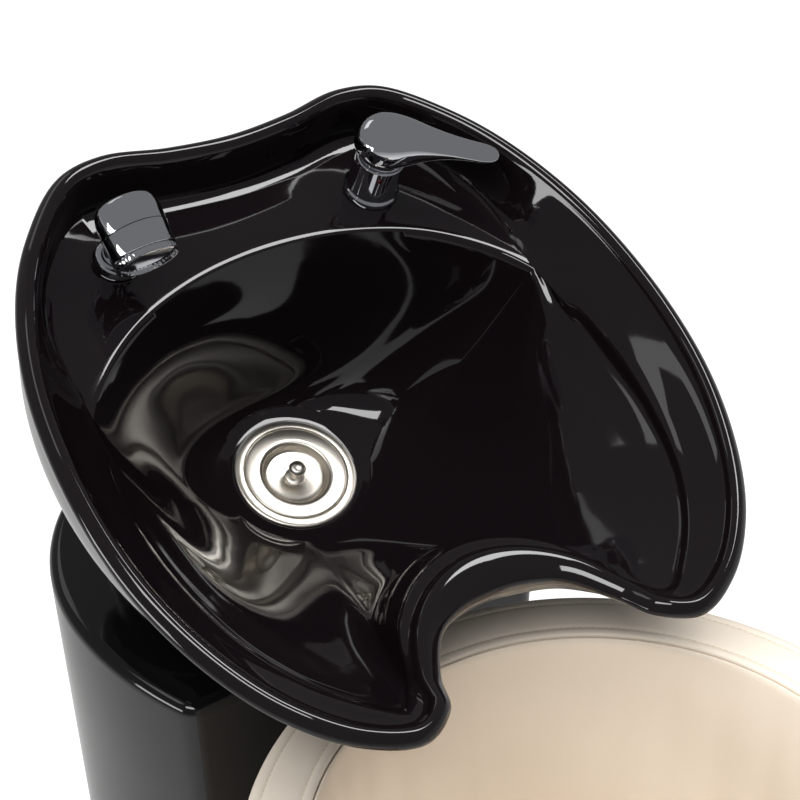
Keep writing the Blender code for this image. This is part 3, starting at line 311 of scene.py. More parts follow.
def growRings(rings, closed=False):
    # one ring of edges is drawn, then pulled from place to place; open ends are capped
    bm, rings = bmesh.new(), list(rings)
    loop = [bm.verts.new(p) for p in rings[0]]
    for a, b in zip(loop, loop[1:] + loop[:1]):
        bm.edges.new((a, b))
    first = loop
    for ring in rings[1:] + (rings[:1] if closed else []):
        edges = [bm.edges.get(pair) for pair in zip(loop, loop[1:] + loop[:1])]
        made = bmesh.ops.extrude_edge_only(bm, edges=edges)["geom"]
        fresh = {v.co.to_tuple(): v for v in made if isinstance(v, bmesh.types.BMVert)}
        loop = [fresh[v.co.to_tuple()] for v in loop]
        for vert, place in zip(loop, ring):
            vert.co = place
    if closed:
        bmesh.ops.remove_doubles(bm, verts=first + loop, dist=weldGap)
    else:
        for end in (first, loop):
            bmesh.ops.contextual_create(bm, geom=[bm.edges.get(pair) for pair in zip(end, end[1:] + end[:1])])
    return bm


def smoothThrough(rows, per, closed=False, straight=(), corners=None):
    # a smooth curve through every row; the spans named in straight stay straight, and it bends sharply at corners
    corners = corners or {}
    p = np.asarray(rows, float)
    if closed:
        q = np.concatenate([p[-1:], p, p[:2]])
    else:
        q = np.concatenate([2 * p[:1] - p[1:2], p, 2 * p[-1:] - p[-2:-1]])
    out = []
    for span, (a, b, c, d) in enumerate(zip(q, q[1:], q[2:], q[3:])):
        ka, kb, kc = (np.maximum(np.linalg.norm(v - u, axis=-1, keepdims=True), 1e-6) ** 0.5
                      for u, v in ((a, b), (b, c), (c, d)))
        mb = (c - b) / kb - (c - a) / (ka + kb) + (b - a) / ka
        mc = (d - c) / kc - (d - b) / (kb + kc) + (c - b) / kb
        mb = mb + ((c - b) / kb - mb) * corners.get(span, 0)
        mc = mc + ((c - b) / kb - mc) * corners.get((span + 1) % len(p), 0)
        for t in np.arange(per) / per:
            if span in straight:
                out.append(b + (c - b) * t)
            else:
                out.append((2 * t**3 - 3 * t**2 + 1) * b + (t**3 - 2 * t**2 + t) * kb * mb
                           + (3 * t**2 - 2 * t**3) * c + (t**3 - t**2) * kb * mc)
    return np.array(out if closed else out + [p[-1]])


def meshFrom(name, bm):
    bmesh.ops.remove_doubles(bm, verts=bm.verts, dist=weldGap)
    bmesh.ops.recalc_face_normals(bm, faces=bm.faces)
    mesh = bpy.data.meshes.new(name)
    bm.to_mesh(mesh)
    bm.free()
    mesh.shade_smooth()
    return mesh


def makePiece(name, bm, skin, body, replacing=(), place=None, sharp=34):
    if place is not None:
        bm.transform(place)
    mesh = meshFrom(name, bm)
    mesh.set_sharp_from_angle(angle=math.radians(sharp))
    piece = bpy.data.objects.new(name, mesh)
    scene.collection.objects.link(piece)
    mesh.materials.append(skin)
    if body:                                  # a piece that bends across a joint rides on none
        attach(piece, body)
    if replacing:
        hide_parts(*replacing)
    return piece


def upholster(name, bm, *replacing, sharp=60):
    return makePiece(name, bm, leather, "base", replacing, sharp=sharp)


def makeTool(name, bm):
    # a cutting shape, removed again after use
    tool = bpy.data.objects.new(name, meshFrom(name, bm))
    scene.collection.objects.link(tool)
    return tool


def bakeModifiers(piece):
    bpy.context.view_layer.update()
    made = bpy.data.meshes.new_from_object(piece.evaluated_get(bpy.context.evaluated_depsgraph_get()))
    piece.modifiers.clear()
    piece.data = made


def shapeWith(piece, tools, sharp=34, solver="EXACT"):
    # tools: (object, operation) pairs, used up one by one
    for tool, operation in tools:
        cut = piece.modifiers.new("cut", "BOOLEAN")
        cut.object, cut.operation, cut.solver = tool, operation, solver
    bakeModifiers(piece)
    piece.data.set_sharp_from_angle(angle=math.radians(sharp))
    for tool, operation in tools:
        bpy.data.objects.remove(tool, do_unlink=True)
    return piece


def turnProfile(profile, steps=96, closed=True, edge=0.0):
    # spins (radius, height) points, then softens the crisp edges
    bm = bmesh.new()
    points = [bm.verts.new((r, 0, z)) for r, z in profile]
    for a, b in zip(points, points[1:] + (points[:1] if closed else [])):
        bm.edges.new((a, b))
    bmesh.ops.spin(bm, geom=bm.verts[:] + bm.edges[:], cent=(0, 0, 0), axis=(0, 0, 1), dvec=(0, 0, 0),
                   angle=2 * math.pi, steps=steps, use_merge=True, use_duplicate=False)
    bmesh.ops.remove_doubles(bm, verts=bm.verts, dist=weldGap)
    bmesh.ops.recalc_face_normals(bm, faces=bm.faces)
    if edge:
        crisp = [e for e in bm.edges if len(e.link_faces) == 2 and e.calc_face_angle(0) > math.radians(28)]
        bmesh.ops.bevel(bm, geom=crisp, offset=edge, offset_type="OFFSET", segments=3, profile=0.5,
                        affect="EDGES", material=-1, clamp_overlap=True)
    return bm


def roundedBox(half, low, high, corner, steps):
    # an upright rectangle with round corners, as (across, height) points
    line = []
    middles = ((half - corner, high - corner), (corner - half, high - corner),
               (corner - half, low + corner), (half - corner, low + corner))
    for quarter, (x, z) in enumerate(middles):
        for t in np.linspace(0, math.pi / 2, steps) + quarter * math.pi / 2:
            line.append((x + corner * math.cos(t), z + corner * math.sin(t)))
    return line


def mapAround(bm):
    # lays the round map that brushed metal needs: across is the turn, up is the radius
    layer = bm.loops.layers.uv.new("around")
    for face in bm.faces:
        middle = face.calc_center_median()
        mean = math.atan2(middle.y, middle.x)
        for loop in face.loops:
            x, y = loop.vert.co.x, loop.vert.co.y
            turn = math.atan2(y, x)
            turn += 2 * math.pi * round((mean - turn) / (2 * math.pi))
            loop[layer].uv = (turn / (2 * math.pi), math.hypot(x, y) + abs(loop.vert.co.z))
    return bm


# the basin's own frame: origin at the drain, turned forward with the basin
tiltSet = {"drain": 750 * mm, "lean": math.radians(24)}
basinFrame = Matrix.Translation((0, 0, tiltSet["drain"])) @ Matrix.Rotation(tiltSet["lean"], 4, "X")

# basin: the same stations as the solid, from the middle of the back round to the neck notch, drawn finer
basinSet = {
    "rim": 241 * mm, "deckDrop": 54 * mm, "lipDip": 35 * mm, "bead": 9.5 * mm, "lipRoll": 28 * mm, "wall": 10 * mm,
    "dish": 70 * mm, "dishRise": 1 * mm, "foot": -30 * mm, "bore": 46 * mm, "flange": 56 * mm, "ease": 4,
    "alongSteps": 8, "acrossSteps": 4, "fairAlong": 200, "fairAcross": 24,
    "mixerHole": (116 * mm, 144 * mm, 16.5 * mm), "sprayHole": (-126 * mm, 150 * mm, 17.4 * mm),
}
crest = np.array([(0, 198), (58, 203), (112, 213), (149, 205), (194, 161), (226, 109), (253, 29), (263, -70),
                  (255, -156), (231, -229), (201, -279), (163, -315), (125, -330), (101, -317), (91, -289), (69, -250),
                  (37, -225), (0, -216)]) * mm
brink = np.array([(0, 117), (57, 112), (105, 99), (140, 83), (172, 60), (196, 36), (210, 16)]) * mm
hullFoot = np.array([(0, 186), (60, 187), (108, 190), (136, 182), (158, 140), (168, 95), (170, 25), (163, -30),
                     (148, -66), (128, -88), (110, -98), (92, -106), (78, -110), (66, -112), (56, -113), (40, -115),
                     (20, -116), (0, -116)]) * mm
wallIn = np.array([10, 10, 10, 9, 9, 16, 37, 40, 38, 34, 32, 28, 20, 20, 12, 16, 18, 19]) * mm
wallFade = np.array([1, 1, 1, 1, 1, 1, 1, .94, .75, .58, .48, .4, .35, .37, .33, .29, .27, .27])
notch = np.array([0] * 14 + [.12, .4, .8, 1])
tuck = np.array([0, 0, 0, 0, 0, 1, 3, 6, 9, 12, 16, 20, 22, 20, 12, 4, 0, 0]) * mm
dip = np.array([0] * 13 + [.14, .54, .83, .97, 1])
dishTurn = np.radians([0, 19, 38, 52, 66, 80, 93, 105, 117, 127, 135, 143, 150, 154, 158, 165, 172, 180])
belly = np.array([2.2, 2.2, 2.2, 2.2, 2.2, 2, 1.8, 1.6, 1.4, 1.2, 1.05, .92, .82, .78, .75, .75, .75, .75])
slope = np.array([2.1, 2.1, 2.1, 2.1, 2.1, 2.08, 2, 1.45, 1.35, 1.15, 1.08, 1.1, 1.06, 1.1, 1.2, 1.4, 1.6, 1.65])
# rows of the bowl from the dish up: share of the way from the edge to the dish under the deck and on the ramp
bowlShares = ((.95, .95), (.86, .87), (.74, .77), (.6, .66), (.46, .55), (.32, .45), (.18, .35), (.06, .26))
rampShare = np.array([0] * 7 + [.55, .9] + [1] * 9)
lipRow = 3 + len(bowlShares)
creaseAt = 6                                  # a crease runs from the deck's corner down the wall
creaseRows = np.array([0, 0, 0, 0, .1, .3, .6, .8, .95, 1, 1, 1, .6])


def outwardOf(line):
    # unit normals of a half outline that starts and ends on the mirror plane
    whole = np.vstack([line[1] * (-1, 1), line, line[-2] * (-1, 1)])
    along = whole[2:] - whole[:-2]
    away = np.c_[-along[:, 1], along[:, 0]]
    return away / np.linalg.norm(away, axis=1)[:, None]


def liftLine(line, height):
    return np.c_[line, np.broadcast_to(height, len(line))]


def basinControls(s):
    away = outwardOf(crest)
    crestHeight = s["rim"] - s["lipDip"] * dip
    deck = s["rim"] - s["deckDrop"]
    bead = s["bead"]

    def circle(radius):
        return np.c_[np.sin(dishTurn), np.cos(dishTurn)] * radius

    def beside(out, drop):
        return liftLine(crest + away * np.reshape(out, (-1, 1)), crestHeight - drop)

    wall = beside(-wallIn, s["deckDrop"] * wallFade)
    dish = liftLine(circle(s["dish"]), s["dishRise"])
    back = len(brink)
    edge = wall.copy()
    edge[:back] = liftLine(brink, deck)
    skin = [liftLine(circle(s["bore"]), -3 * mm), liftLine(circle(s["flange"] + 2.5 * mm), -2.5 * mm), dish]
    for near, far in bowlShares:
        share = (near + (far - near) * rampShare)[:, None]
        row = edge + (dish - edge) * share
        row[:, 2] = edge[:, 2] + (s["dishRise"] - edge[:, 2]) * (1 - (1 - share[:, 0]) ** slope)
        for _ in range(round(s["ease"] * far)):
            row[7:] = (row[6:-1] + 2 * row[7:] + np.vstack([row[8:], row[-2] * (-1, 1, 1)])) / 4
        skin.append(row)
    step = wall - edge
    reach = np.linalg.norm(step, axis=1)[:, None]
    lip = edge + (dish - edge) * .14
    lip[:back] = edge[:back] - (0, 0, 2 * mm)
    shelf = edge + (dish - edge) * .06
    shelf[:back] = edge[:back] + (step / np.maximum(reach, mm))[:back] * np.minimum(12 * mm, reach * .4)[:back]
    fillet = np.maximum(-wallIn - 8 * mm * (wallFade == 1), -wallIn * 1.2)
    ledge = beside(fillet, s["deckDrop"] * wallFade)
    ledge[back:] = edge[back:] + (dish - edge)[back:] * .02
    rise = beside(-wallIn, s["deckDrop"] * wallFade - 7 * mm * wallFade)
    skin += [lip, shelf, ledge, rise, beside(-bead * .9, bead), beside(-bead * .5, 2.5 * mm), beside(0, 0)]
    roll = bead + (s["lipRoll"] - bead) * notch
    skin += [beside(roll * .5, 2.5 * mm), beside(roll, bead * (1 + .2 * notch)), beside(roll * .97 - tuck, 25 * mm),
             beside(roll * .8 - tuck * 1.8, 40 * mm)]
    top = skin[-1]
    for share in (.25, .5, .78, 1):
        plan = top[:, :2] + (hullFoot - top[:, :2]) * (share ** belly)[:, None]
        skin.append(liftLine(plan, top[:, 2] + (s["foot"] - top[:, 2]) * share))

    def inside(row):
        return liftLine(row[:, :2] - outwardOf(row[:, :2]) * s["wall"], row[:, 2])

    shift = np.array([-12] * 5 + [-8, 0] + [6] * 11) * mm
    hidden = [inside(skin[-1]), inside(skin[-2]), inside(skin[-4]),
              liftLine(wall[:, :2] + away * shift[:, None], wall[:, 2] - s["wall"])]
    grid = np.array(skin[:lipRow + 2])
    across, along = np.gradient(grid, axis=0), np.gradient(grid, axis=1)
    along[:, 0, 1:] = along[:, -1, 1:] = 0
    normal = np.cross(along, across)
    normal /= np.linalg.norm(normal, axis=2)[:, :, None]
    normal *= np.sign(normal[:, :, 2:])
    normal[:, (0, -1), 0] = 0
    normal[:, 11:16] = (0, 0, 1)      # the narrow lobe is thinned straight down
    under = [grid[j] - normal[j] * s["wall"] for j in (lipRow, 9, 7, 5, 3)]
    under[0][:back, 2] = deck - s["wall"]
    bottom = s["dishRise"] - s["wall"] - 4 * mm
    hidden += under + [liftLine(circle(s["dish"]), bottom), liftLine(circle(s["bore"]), bottom)]
    return np.array(skin + hidden)


halfRows = basinControls(basinSet)
wholeRows = np.concatenate([halfRows, halfRows[:, -2:0:-1] * (-1, 1, 1)], axis=1)
rowCount = len(halfRows)
sharpness = np.zeros((rowCount, 1))
sharpness[:len(creaseRows), 0] = creaseRows
creases = {creaseAt: sharpness, wholeRows.shape[1] - creaseAt: sharpness}
alongSteps, acrossSteps = basinSet["alongSteps"], basinSet["acrossSteps"]
wholeRows = smoothThrough(wholeRows.swapaxes(0, 1), alongSteps, closed=True, corners=creases).swapaxes(0, 1)
# the bowl is faired along its rows and then across them, as a mould is rubbed down, and keeps its crease
pinned = [creaseAt * alongSteps, len(wholeRows[0]) - creaseAt * alongSteps]
faired = {row: creaseRows[row] for row in range(3, lipRow)} | {row: 0 for row in range(rowCount - 6, rowCount - 2)}
for row, held in faired.items():
    line = wholeRows[row]
    for _ in range(basinSet["fairAlong"]):
        mean = (np.roll(line, 1, axis=0) + 2 * line + np.roll(line, -1, axis=0)) / 4
        mean[pinned] += (line[pinned] - mean[pinned]) * held
        line = mean
    wholeRows[row] = line
flatSpans = (0, 1, rowCount - 3, rowCount - 2, rowCount - 1)
fineRows = smoothThrough(wholeRows, acrossSteps, closed=True, straight=flatSpans)
bowl = fineRows[2 * acrossSteps:lipRow * acrossSteps + 1]
for _ in range(basinSet["fairAcross"]):
    bowl[1:-1] = (bowl[:-2] + 2 * bowl[1:-1] + bowl[2:]) / 4
basin = makePiece("basin_glazed", growRings(fineRows, closed=True), glaze, "basin",
                  ["basin"], basinFrame)
deckHeight = basinSet["rim"] - basinSet["deckDrop"]
holes = []
for holeName in ("mixerHole", "sprayHole"):
    x, y, r = basinSet[holeName]
    drill = turnProfile([(0, 20 * mm), (r, 20 * mm), (r, -30 * mm), (0, -30 * mm)], 48, closed=False)
    drill.transform(basinFrame @ Matrix.Translation((x, y, deckHeight)))
    holes.append((makeTool(holeName, drill), "DIFFERENCE"))
shapeWith(basin, holes, 40, "FAST")
print("basin:", len(basin.data.polygons), "faces")

# strainer and waste: spun sheet with rolled edges, and a turned knob
wasteSet = {"flange": 56 * mm, "seat": -2.2 * mm, "cup": 44 * mm, "cupDepth": 46 * mm, "sheet": 2 * mm, "tail": 20 * mm,
            "tailEnd": -100 * mm, "basketCup": 31 * mm, "basketDepth": 9 * mm, "knob": 8 * mm, "gap": 0.3 * mm}
s = wasteSet
wasteProfile = [
    (s["flange"] - 9 * mm, s["seat"] + 1.6 * mm), (s["flange"] - 8 * mm, s["seat"] + 2.6 * mm),
    (s["flange"] - 5 * mm, s["seat"] + 2.5 * mm), (s["flange"] - 2 * mm, s["seat"] + 2.1 * mm),
    (s["flange"] - 0.6 * mm, s["seat"] + 1.5 * mm), (s["flange"], s["seat"] + 0.8 * mm), (s["flange"], s["seat"]),
    (s["cup"], s["seat"]), (s["cup"], -s["cupDepth"]),
    (s["tail"], -s["cupDepth"] - 6 * mm), (s["tail"], s["tailEnd"]), (s["tail"] - s["sheet"], s["tailEnd"]),
    (s["tail"] - s["sheet"], -s["cupDepth"] - 4 * mm), (s["cup"] - s["sheet"], -s["cupDepth"] + s["sheet"]),
    (s["cup"] - s["sheet"], s["seat"] + 0.6 * mm), (s["flange"] - 9 * mm, s["seat"] + 0.8 * mm)]
makePiece("waste_spun", mapAround(turnProfile(wasteProfile, 128, edge=0.25 * mm)), spun, "basin",
          ["waste_body"], basinFrame)
rest = s["seat"] + 0.8 * mm + s["gap"]
basketEdge = s["flange"] - 9 * mm - 2 * s["gap"]
basketProfile = [
    (s["basketCup"] + 2.6 * mm, rest + 1.7 * mm), (s["basketCup"] + 4 * mm, rest + 1.75 * mm),
    (basketEdge - 2 * mm, rest + 1.45 * mm), (basketEdge - 0.7 * mm, rest + 1.2 * mm), (basketEdge, rest + 0.7 * mm),
    (basketEdge, rest), (s["basketCup"] + s["sheet"], rest), (s["basketCup"], rest - 2 * mm),
    (s["basketCup"] - 3 * mm, rest - s["basketDepth"]), (5 * mm, rest - s["basketDepth"]),
    (5 * mm, rest - s["basketDepth"] + s["sheet"]), (22 * mm, rest - s["basketDepth"] + s["sheet"]),
    (s["basketCup"] - 5.2 * mm, rest - s["basketDepth"] + s["sheet"] + 0.3 * mm),
    (s["basketCup"] - 3.4 * mm, rest - s["basketDepth"] + s["sheet"] + 1.6 * mm),
    (s["basketCup"] - 1.6 * mm, rest - 1.6 * mm), (s["basketCup"] - 0.4 * mm, rest + 0.4 * mm),
    (s["basketCup"] + 1.2 * mm, rest + 1.4 * mm)]
makePiece("strainer_spun", mapAround(turnProfile(basketProfile, 128, edge=0.2 * mm)), spun, "strainer",
          ["strainer_basket"], basinFrame)
stem = rest - s["basketDepth"]
knobProfile = [
    (0, stem + 21 * mm), (s["knob"] * .35, stem + 20.8 * mm), (s["knob"] * .7, stem + 19.9 * mm),
    (s["knob"] * .93, stem + 18.4 * mm), (s["knob"], stem + 16.9 * mm), (s["knob"] * .95, stem + 15.4 * mm),
    (s["knob"] * .78, stem + 14 * mm), (4.4 * mm, stem + 12.6 * mm), (3.9 * mm, stem + 11 * mm),
    (3.9 * mm, stem + 7.4 * mm), (4.8 * mm, stem + 6 * mm), (8.2 * mm, stem + 5 * mm), (9 * mm, stem + 4.4 * mm),
    (9 * mm, stem + s["sheet"] + s["gap"]), (5 * mm - s["gap"], stem + s["sheet"] + s["gap"]),
    (5 * mm - s["gap"], stem - s["gap"] - 3 * mm), (0, stem - s["gap"] - 3 * mm)]
makePiece("strainer_knob_turned", mapAround(turnProfile(knobProfile, 64, closed=False)), spun, "strainer",
          ["strainer_knob"], basinFrame)
print("strainer and waste spun")

# mixer: body, ball cap and one drop-shaped lever, all chrome
mixerSet = {"place": (116 * mm, 144 * mm), "yaw": math.radians(-31), "base": 24.5 * mm, "baseTall": 6 * mm,
            "body": 21.5 * mm, "tall": 44 * mm, "bore": 17 * mm, "spigot": 15.5 * mm, "spigotLong": 38 * mm,
            "pivot": 60 * mm, "dome": 27 * mm, "shell": 2 * mm, "cap": 24.3 * mm, "capBore": 12 * mm,
            "dotTurn": math.radians(-120), "dotDown": 8 * mm, "gap": 0.3 * mm}
s = mixerSet
mixerFrame = basinFrame @ Matrix.Translation((*s["place"], deckHeight)) @ Matrix.Rotation(s["yaw"], 4, "Z")
leverFrame = mixerFrame @ Matrix.Translation((0, 0, s["pivot"]))
baseTop, boreFloor = s["gap"] + s["baseTall"], s["gap"] + 5 * mm
bodyProfile = [
    (s["bore"], s["tall"]), (s["body"] - mm, s["tall"]), (s["body"], s["tall"] - mm),
    (s["body"] + 0.5 * mm, baseTop + 3 * mm), (s["body"] + 0.9 * mm, baseTop + 0.8 * mm),
    (s["base"] - 1.2 * mm, baseTop), (s["base"] - 0.3 * mm, baseTop - 0.7 * mm), (s["base"], baseTop - 1.7 * mm),
    (s["base"], s["gap"]), (s["spigot"], s["gap"]), (s["spigot"], -s["spigotLong"]), (6 * mm, -s["spigotLong"]),
    (6 * mm, boreFloor), (s["bore"], boreFloor)]
makePiece("mixer_body_chrome", turnProfile(bodyProfile, 96, edge=0.3 * mm), chrome, "basin", ["mixer_body"],
          mixerFrame)
bodyTop = s["tall"] - s["pivot"]
capTurns = np.linspace(math.asin(10 * mm / s["cap"]), math.asin((bodyTop + s["gap"]) / s["cap"]), 18)
capProfile = ([(s["capBore"], s["cap"] * math.sin(capTurns[0]))]
              + [(s["cap"] * math.cos(t), s["cap"] * math.sin(t)) for t in capTurns]
              + [(s["capBore"], bodyTop + s["gap"])])
makePiece("cartridge_cap_chrome", turnProfile(capProfile, 96), chrome, "basin", ["cartridge_cap"],
          leverFrame)
# each section of the lever: how far out, half width, height of the widest point, lowest and highest
leverSections = [
    (-27, .4, 0, -.4, .4), (-26.6, 4.6, 0, -3.4, 4.6), (-25, 10.2, 0, -6, 10.2), (-21.5, 16.3, 0, -7, 16.3),
    (-16, 21.7, 0, -7, 21.7), (-8, 25.8, 0, -7, 25.8), (1, 27, 0, -7, 27), (10, 25.8, 1, -6, 26.6),
    (20, 22.6, 3, -3.4, 24.8), (31, 18.8, 5.2, .4, 21.7), (43, 15.4, 7, 3.4, 18.2), (58, 12.6, 8, 4.9, 14.9),
    (74, 11.2, 7.8, 5.3, 12.3), (86, 10.4, 7.4, 5.4, 11), (93, 8.2, 7.3, 5.7, 10.2), (96.6, 5, 7.3, 6.2, 9.3),
    (98, .5, 7.5, 7.1, 7.9)]


def leverRing(out, half, wide, low, high, count=40):
    ring = []
    square = min(max((out - 10) / 40, 0), 1)      # the paddle's top is flatter than the dome's
    for turn in np.linspace(0, 2 * math.pi, count, endpoint=False):
        c, u = math.cos(turn), math.sin(turn)
        power = 1 - .22 * square * (u > 0)
        y = half * math.copysign(abs(c) ** power, c)
        z = wide + ((high - wide) if u > 0 else (wide - low)) * math.copysign(abs(u) ** power, u)
        ring.append((out, y, z))
    return np.array(ring) * mm


leverRows = smoothThrough([leverRing(*row) for row in leverSections], 5)
lever = makePiece("mixer_lever_chrome", growRings(leverRows), chrome, "lever", ["mixer_lever"], leverFrame,
                  50)
hollow = bmesh.new()
bmesh.ops.create_uvsphere(hollow, u_segments=64, v_segments=40, radius=s["dome"] - s["shell"], matrix=leverFrame)
shapeWith(lever, [(makeTool("leverHollow", hollow), "DIFFERENCE")], 50)
dotTurn, dotOut = s["dotTurn"] - s["yaw"], s["body"] + 2 * s["gap"]
dotPlace = (dotOut * math.cos(dotTurn), dotOut * math.sin(dotTurn), s["tall"] - s["dotDown"])
dotFrame = (mixerFrame @ Matrix.Translation(dotPlace)
            @ Matrix.Rotation(dotTurn, 4, "Z") @ Matrix.Rotation(math.pi / 2, 4, "Y"))
dotProfile = [(0, 1.2 * mm), (1.1 * mm, 1.15 * mm), (2 * mm, 0.85 * mm), (2.5 * mm, 0.3 * mm), (2.6 * mm, 0), (0, 0)]
makePiece("index_dot", turnProfile(dotProfile, 32, closed=False), redEnamel, "basin", ["index_button"],
          dotFrame)
print("mixer made")

# hand spray: barrel in two halves, serrated face, neck and bush
spraySet = {"place": (-126 * mm, 150 * mm), "yaw": math.radians(-90), "rise": math.radians(-16), "barrel": 27.5 * mm,
            "long": 54 * mm, "centre": (19 * mm, 61 * mm), "neck": 13 * mm, "bush": 21 * mm, "bushTall": 9 * mm,
            "gap": 0.3 * mm, "teeth": 36, "toothDeep": 0.55 * mm}
s = spraySet
sprayFrame = basinFrame @ Matrix.Translation((*s["place"], deckHeight)) @ Matrix.Rotation(s["yaw"], 4, "Z")
barrelFrame = (sprayFrame @ Matrix.Translation((s["centre"][0], 0, s["centre"][1]))
               @ Matrix.Rotation(math.pi / 2 - s["rise"], 4, "Y"))
r, halfLong = s["barrel"], s["long"] / 2
rearProfile = [(0, -s["gap"] / 2), (r - 0.8 * mm, -s["gap"] / 2), (r - 0.2 * mm, -0.4 * mm), (r, -mm),
               (r, -halfLong * .45), (r * .985, -halfLong * .6), (r * .95, -halfLong * .75), (r * .9, -halfLong * .86),
               (r * .82, -halfLong * .94), (r * .7, -halfLong * .985), (r * .55, -halfLong), (0, -halfLong * 1.01)]
neckTop = s["centre"][1] - 12 * mm
neckProfile = [(0, neckTop), (s["neck"] - mm, neckTop), (s["neck"], s["bushTall"] + 18 * mm),
               (s["neck"], -34.5 * mm), (s["neck"] - 0.5 * mm, -35 * mm), (0, -35 * mm)]
sprayBody = makePiece("spray_body_chrome", turnProfile(rearProfile, 96, closed=False), chrome, "spray",
                      ["spray_body"], barrelFrame)
neckTool = turnProfile(neckProfile, 64, closed=False)
neckTool.transform(sprayFrame)
roomProfile = [(0, halfLong * 2), (r + 2 * mm, halfLong * 2), (r + 2 * mm, -s["gap"] / 2), (0, -s["gap"] / 2)]
frontRoom = turnProfile(roomProfile, 48, closed=False)
frontRoom.transform(barrelFrame @ Matrix.Translation((0, 0, s["gap"] * .01)))
shapeWith(sprayBody, [(makeTool("sprayNeck", neckTool), "UNION"), (makeTool("frontRoom", frontRoom), "DIFFERENCE")])
face = halfLong * .78
frontProfile = [(0, face - s["gap"]), (r * .955, face - s["gap"]), (r * .975, face - 0.8 * mm),
                (r * .99, face - 2 * mm), (r, mm), (r - 0.2 * mm, 0.5 * mm), (r - 0.8 * mm, s["gap"] / 2),
                (0, s["gap"] / 2)]
makePiece("spray_front_chrome", turnProfile(frontProfile, 96, closed=False), chrome, "spray", ["spray_front"],
          barrelFrame)
faceProfile = [(r * .95, face), (r * .975, face + 0.6 * mm), (r * .98, face + 1.4 * mm),
               (r * .975, halfLong - 1.4 * mm), (r * .95, halfLong - 0.4 * mm), (r * .9, halfLong),
               (r * .86, halfLong - 0.2 * mm), (r * .83, halfLong - 1.6 * mm), (r * .82, halfLong - 2.5 * mm),
               (r * .4, halfLong - 2.2 * mm), (r * .1, halfLong - 2.1 * mm)]
faceRings = []
for radius, z in faceProfile:
    ring = []
    for i in range(s["teeth"] * 4):
        turn = 2 * math.pi * i / (s["teeth"] * 4)
        cut = s["toothDeep"] * (i % 4 == 0) * (face < z < halfLong - 0.5 * mm)
        ring.append(((radius - cut) * math.cos(turn), (radius - cut) * math.sin(turn), z))
    faceRings.append(ring)
makePiece("spray_face_ring", growRings(faceRings), chrome, "spray", ["spray_face"],
          barrelFrame)
bushBore = s["neck"] + 0.4 * mm
bush, bushTop, tubeOut = s["bush"], s["bushTall"], bushBore + 3.6 * mm
bushProfile = [(bushBore, bushTop - 0.5 * mm), (bushBore + 0.5 * mm, bushTop), (bush - 3.4 * mm, bushTop),
               (bush - 2.2 * mm, bushTop - 0.5 * mm), (bush - 1.2 * mm, bushTop - 1.6 * mm),
               (bush - 0.2 * mm, 3.2 * mm), (bush, 2 * mm), (bush, s["gap"]),
               (tubeOut, s["gap"]), (tubeOut, -30 * mm), (bushBore, -30 * mm)]
makePiece("spray_bush_turned", turnProfile(bushProfile, 96, edge=0.2 * mm), chrome, "basin",
          ["spray_bush"], sprayFrame)
print("hand spray made")

# pedestal: one polished moulding with a flat front, full sides and a door at the back
pedestalSet = {"top": 650 * mm, "front": -125 * mm, "mid": 30 * mm, "half": 216 * mm, "backLong": 235 * mm,
               "frontLong": 277 * mm, "corner": 14 * mm, "edge": 12 * mm, "wall": 5 * mm, "footScale": 0.905,
               "clear": 1 * mm, "portHalf": 82 * mm, "port": (-14 * mm, 180 * mm), "doorHalf": 105 * mm,
               "door": (110 * mm, 470 * mm), "doorCorner": 20 * mm, "doorGap": 0.5 * mm, "doorLap": 18 * mm,
               "tongue": 80 * mm, "plate": 6 * mm, "gap": 0.3 * mm}
s = pedestalSet
sideStart = math.asin((s["front"] - s["mid"]) / s["frontLong"])


def pedestalOutline(inset=0.0):
    turns = np.linspace(sideStart, math.pi / 2, 57)[1:]
    half = [(s["half"] * math.cos(t), s["mid"] + (s["backLong"] if t > 0 else s["frontLong"]) * math.sin(t))
            for t in turns]
    corner = np.array((s["half"] * math.cos(sideStart), s["front"]))
    wide = [p for p in half if np.linalg.norm(np.array(p) - corner) > s["corner"] * 1.1]
    along = (np.array(wide[0]) - corner) / np.linalg.norm(np.array(wide[0]) - corner)
    a, c = corner - (s["corner"], 0), corner + along * s["corner"]
    bend = [(1 - t) ** 2 * a + 2 * t * (1 - t) * corner + t * t * c for t in np.linspace(0, 1, 9)]
    flat = [(corner[0] * share, s["front"]) for share in (0, .33, .66)]
    right = np.array(flat + [tuple(b) for b in bend] + wide)
    right[-1, 0] = 0
    line = right + outwardOf(right) * inset
    line[(0, -1), 0] = 0
    return np.vstack([line, line[-2:0:-1] * (-1, 1)])


def pedestalRing(z, inset=0.0):
    scale = s["footScale"] + (1 - s["footScale"]) * z / s["top"]
    return [(x * scale, y, z) for x, y in pedestalOutline(inset)]


def portRing(z):
    mid, halfY = sum(s["port"]) / 2, (s["port"][1] - s["port"][0]) / 2
    ring = []
    for x, y in pedestalOutline(s["edge"]):
        t = math.atan2(y - mid, x)
        reach = ((abs(math.cos(t)) / s["portHalf"]) ** 6 + (abs(math.sin(t)) / halfY) ** 6) ** (-1 / 6)
        ring.append((reach * math.cos(t), mid + reach * math.sin(t), z))
    return ring


def edgeRings(inset, steps):
    return [pedestalRing(s["top"] - inset - s["edge"] * (1 - math.sin(t)), inset + s["edge"] * (1 - math.cos(t)))
            for t in np.linspace(0, math.pi / 2, steps)]


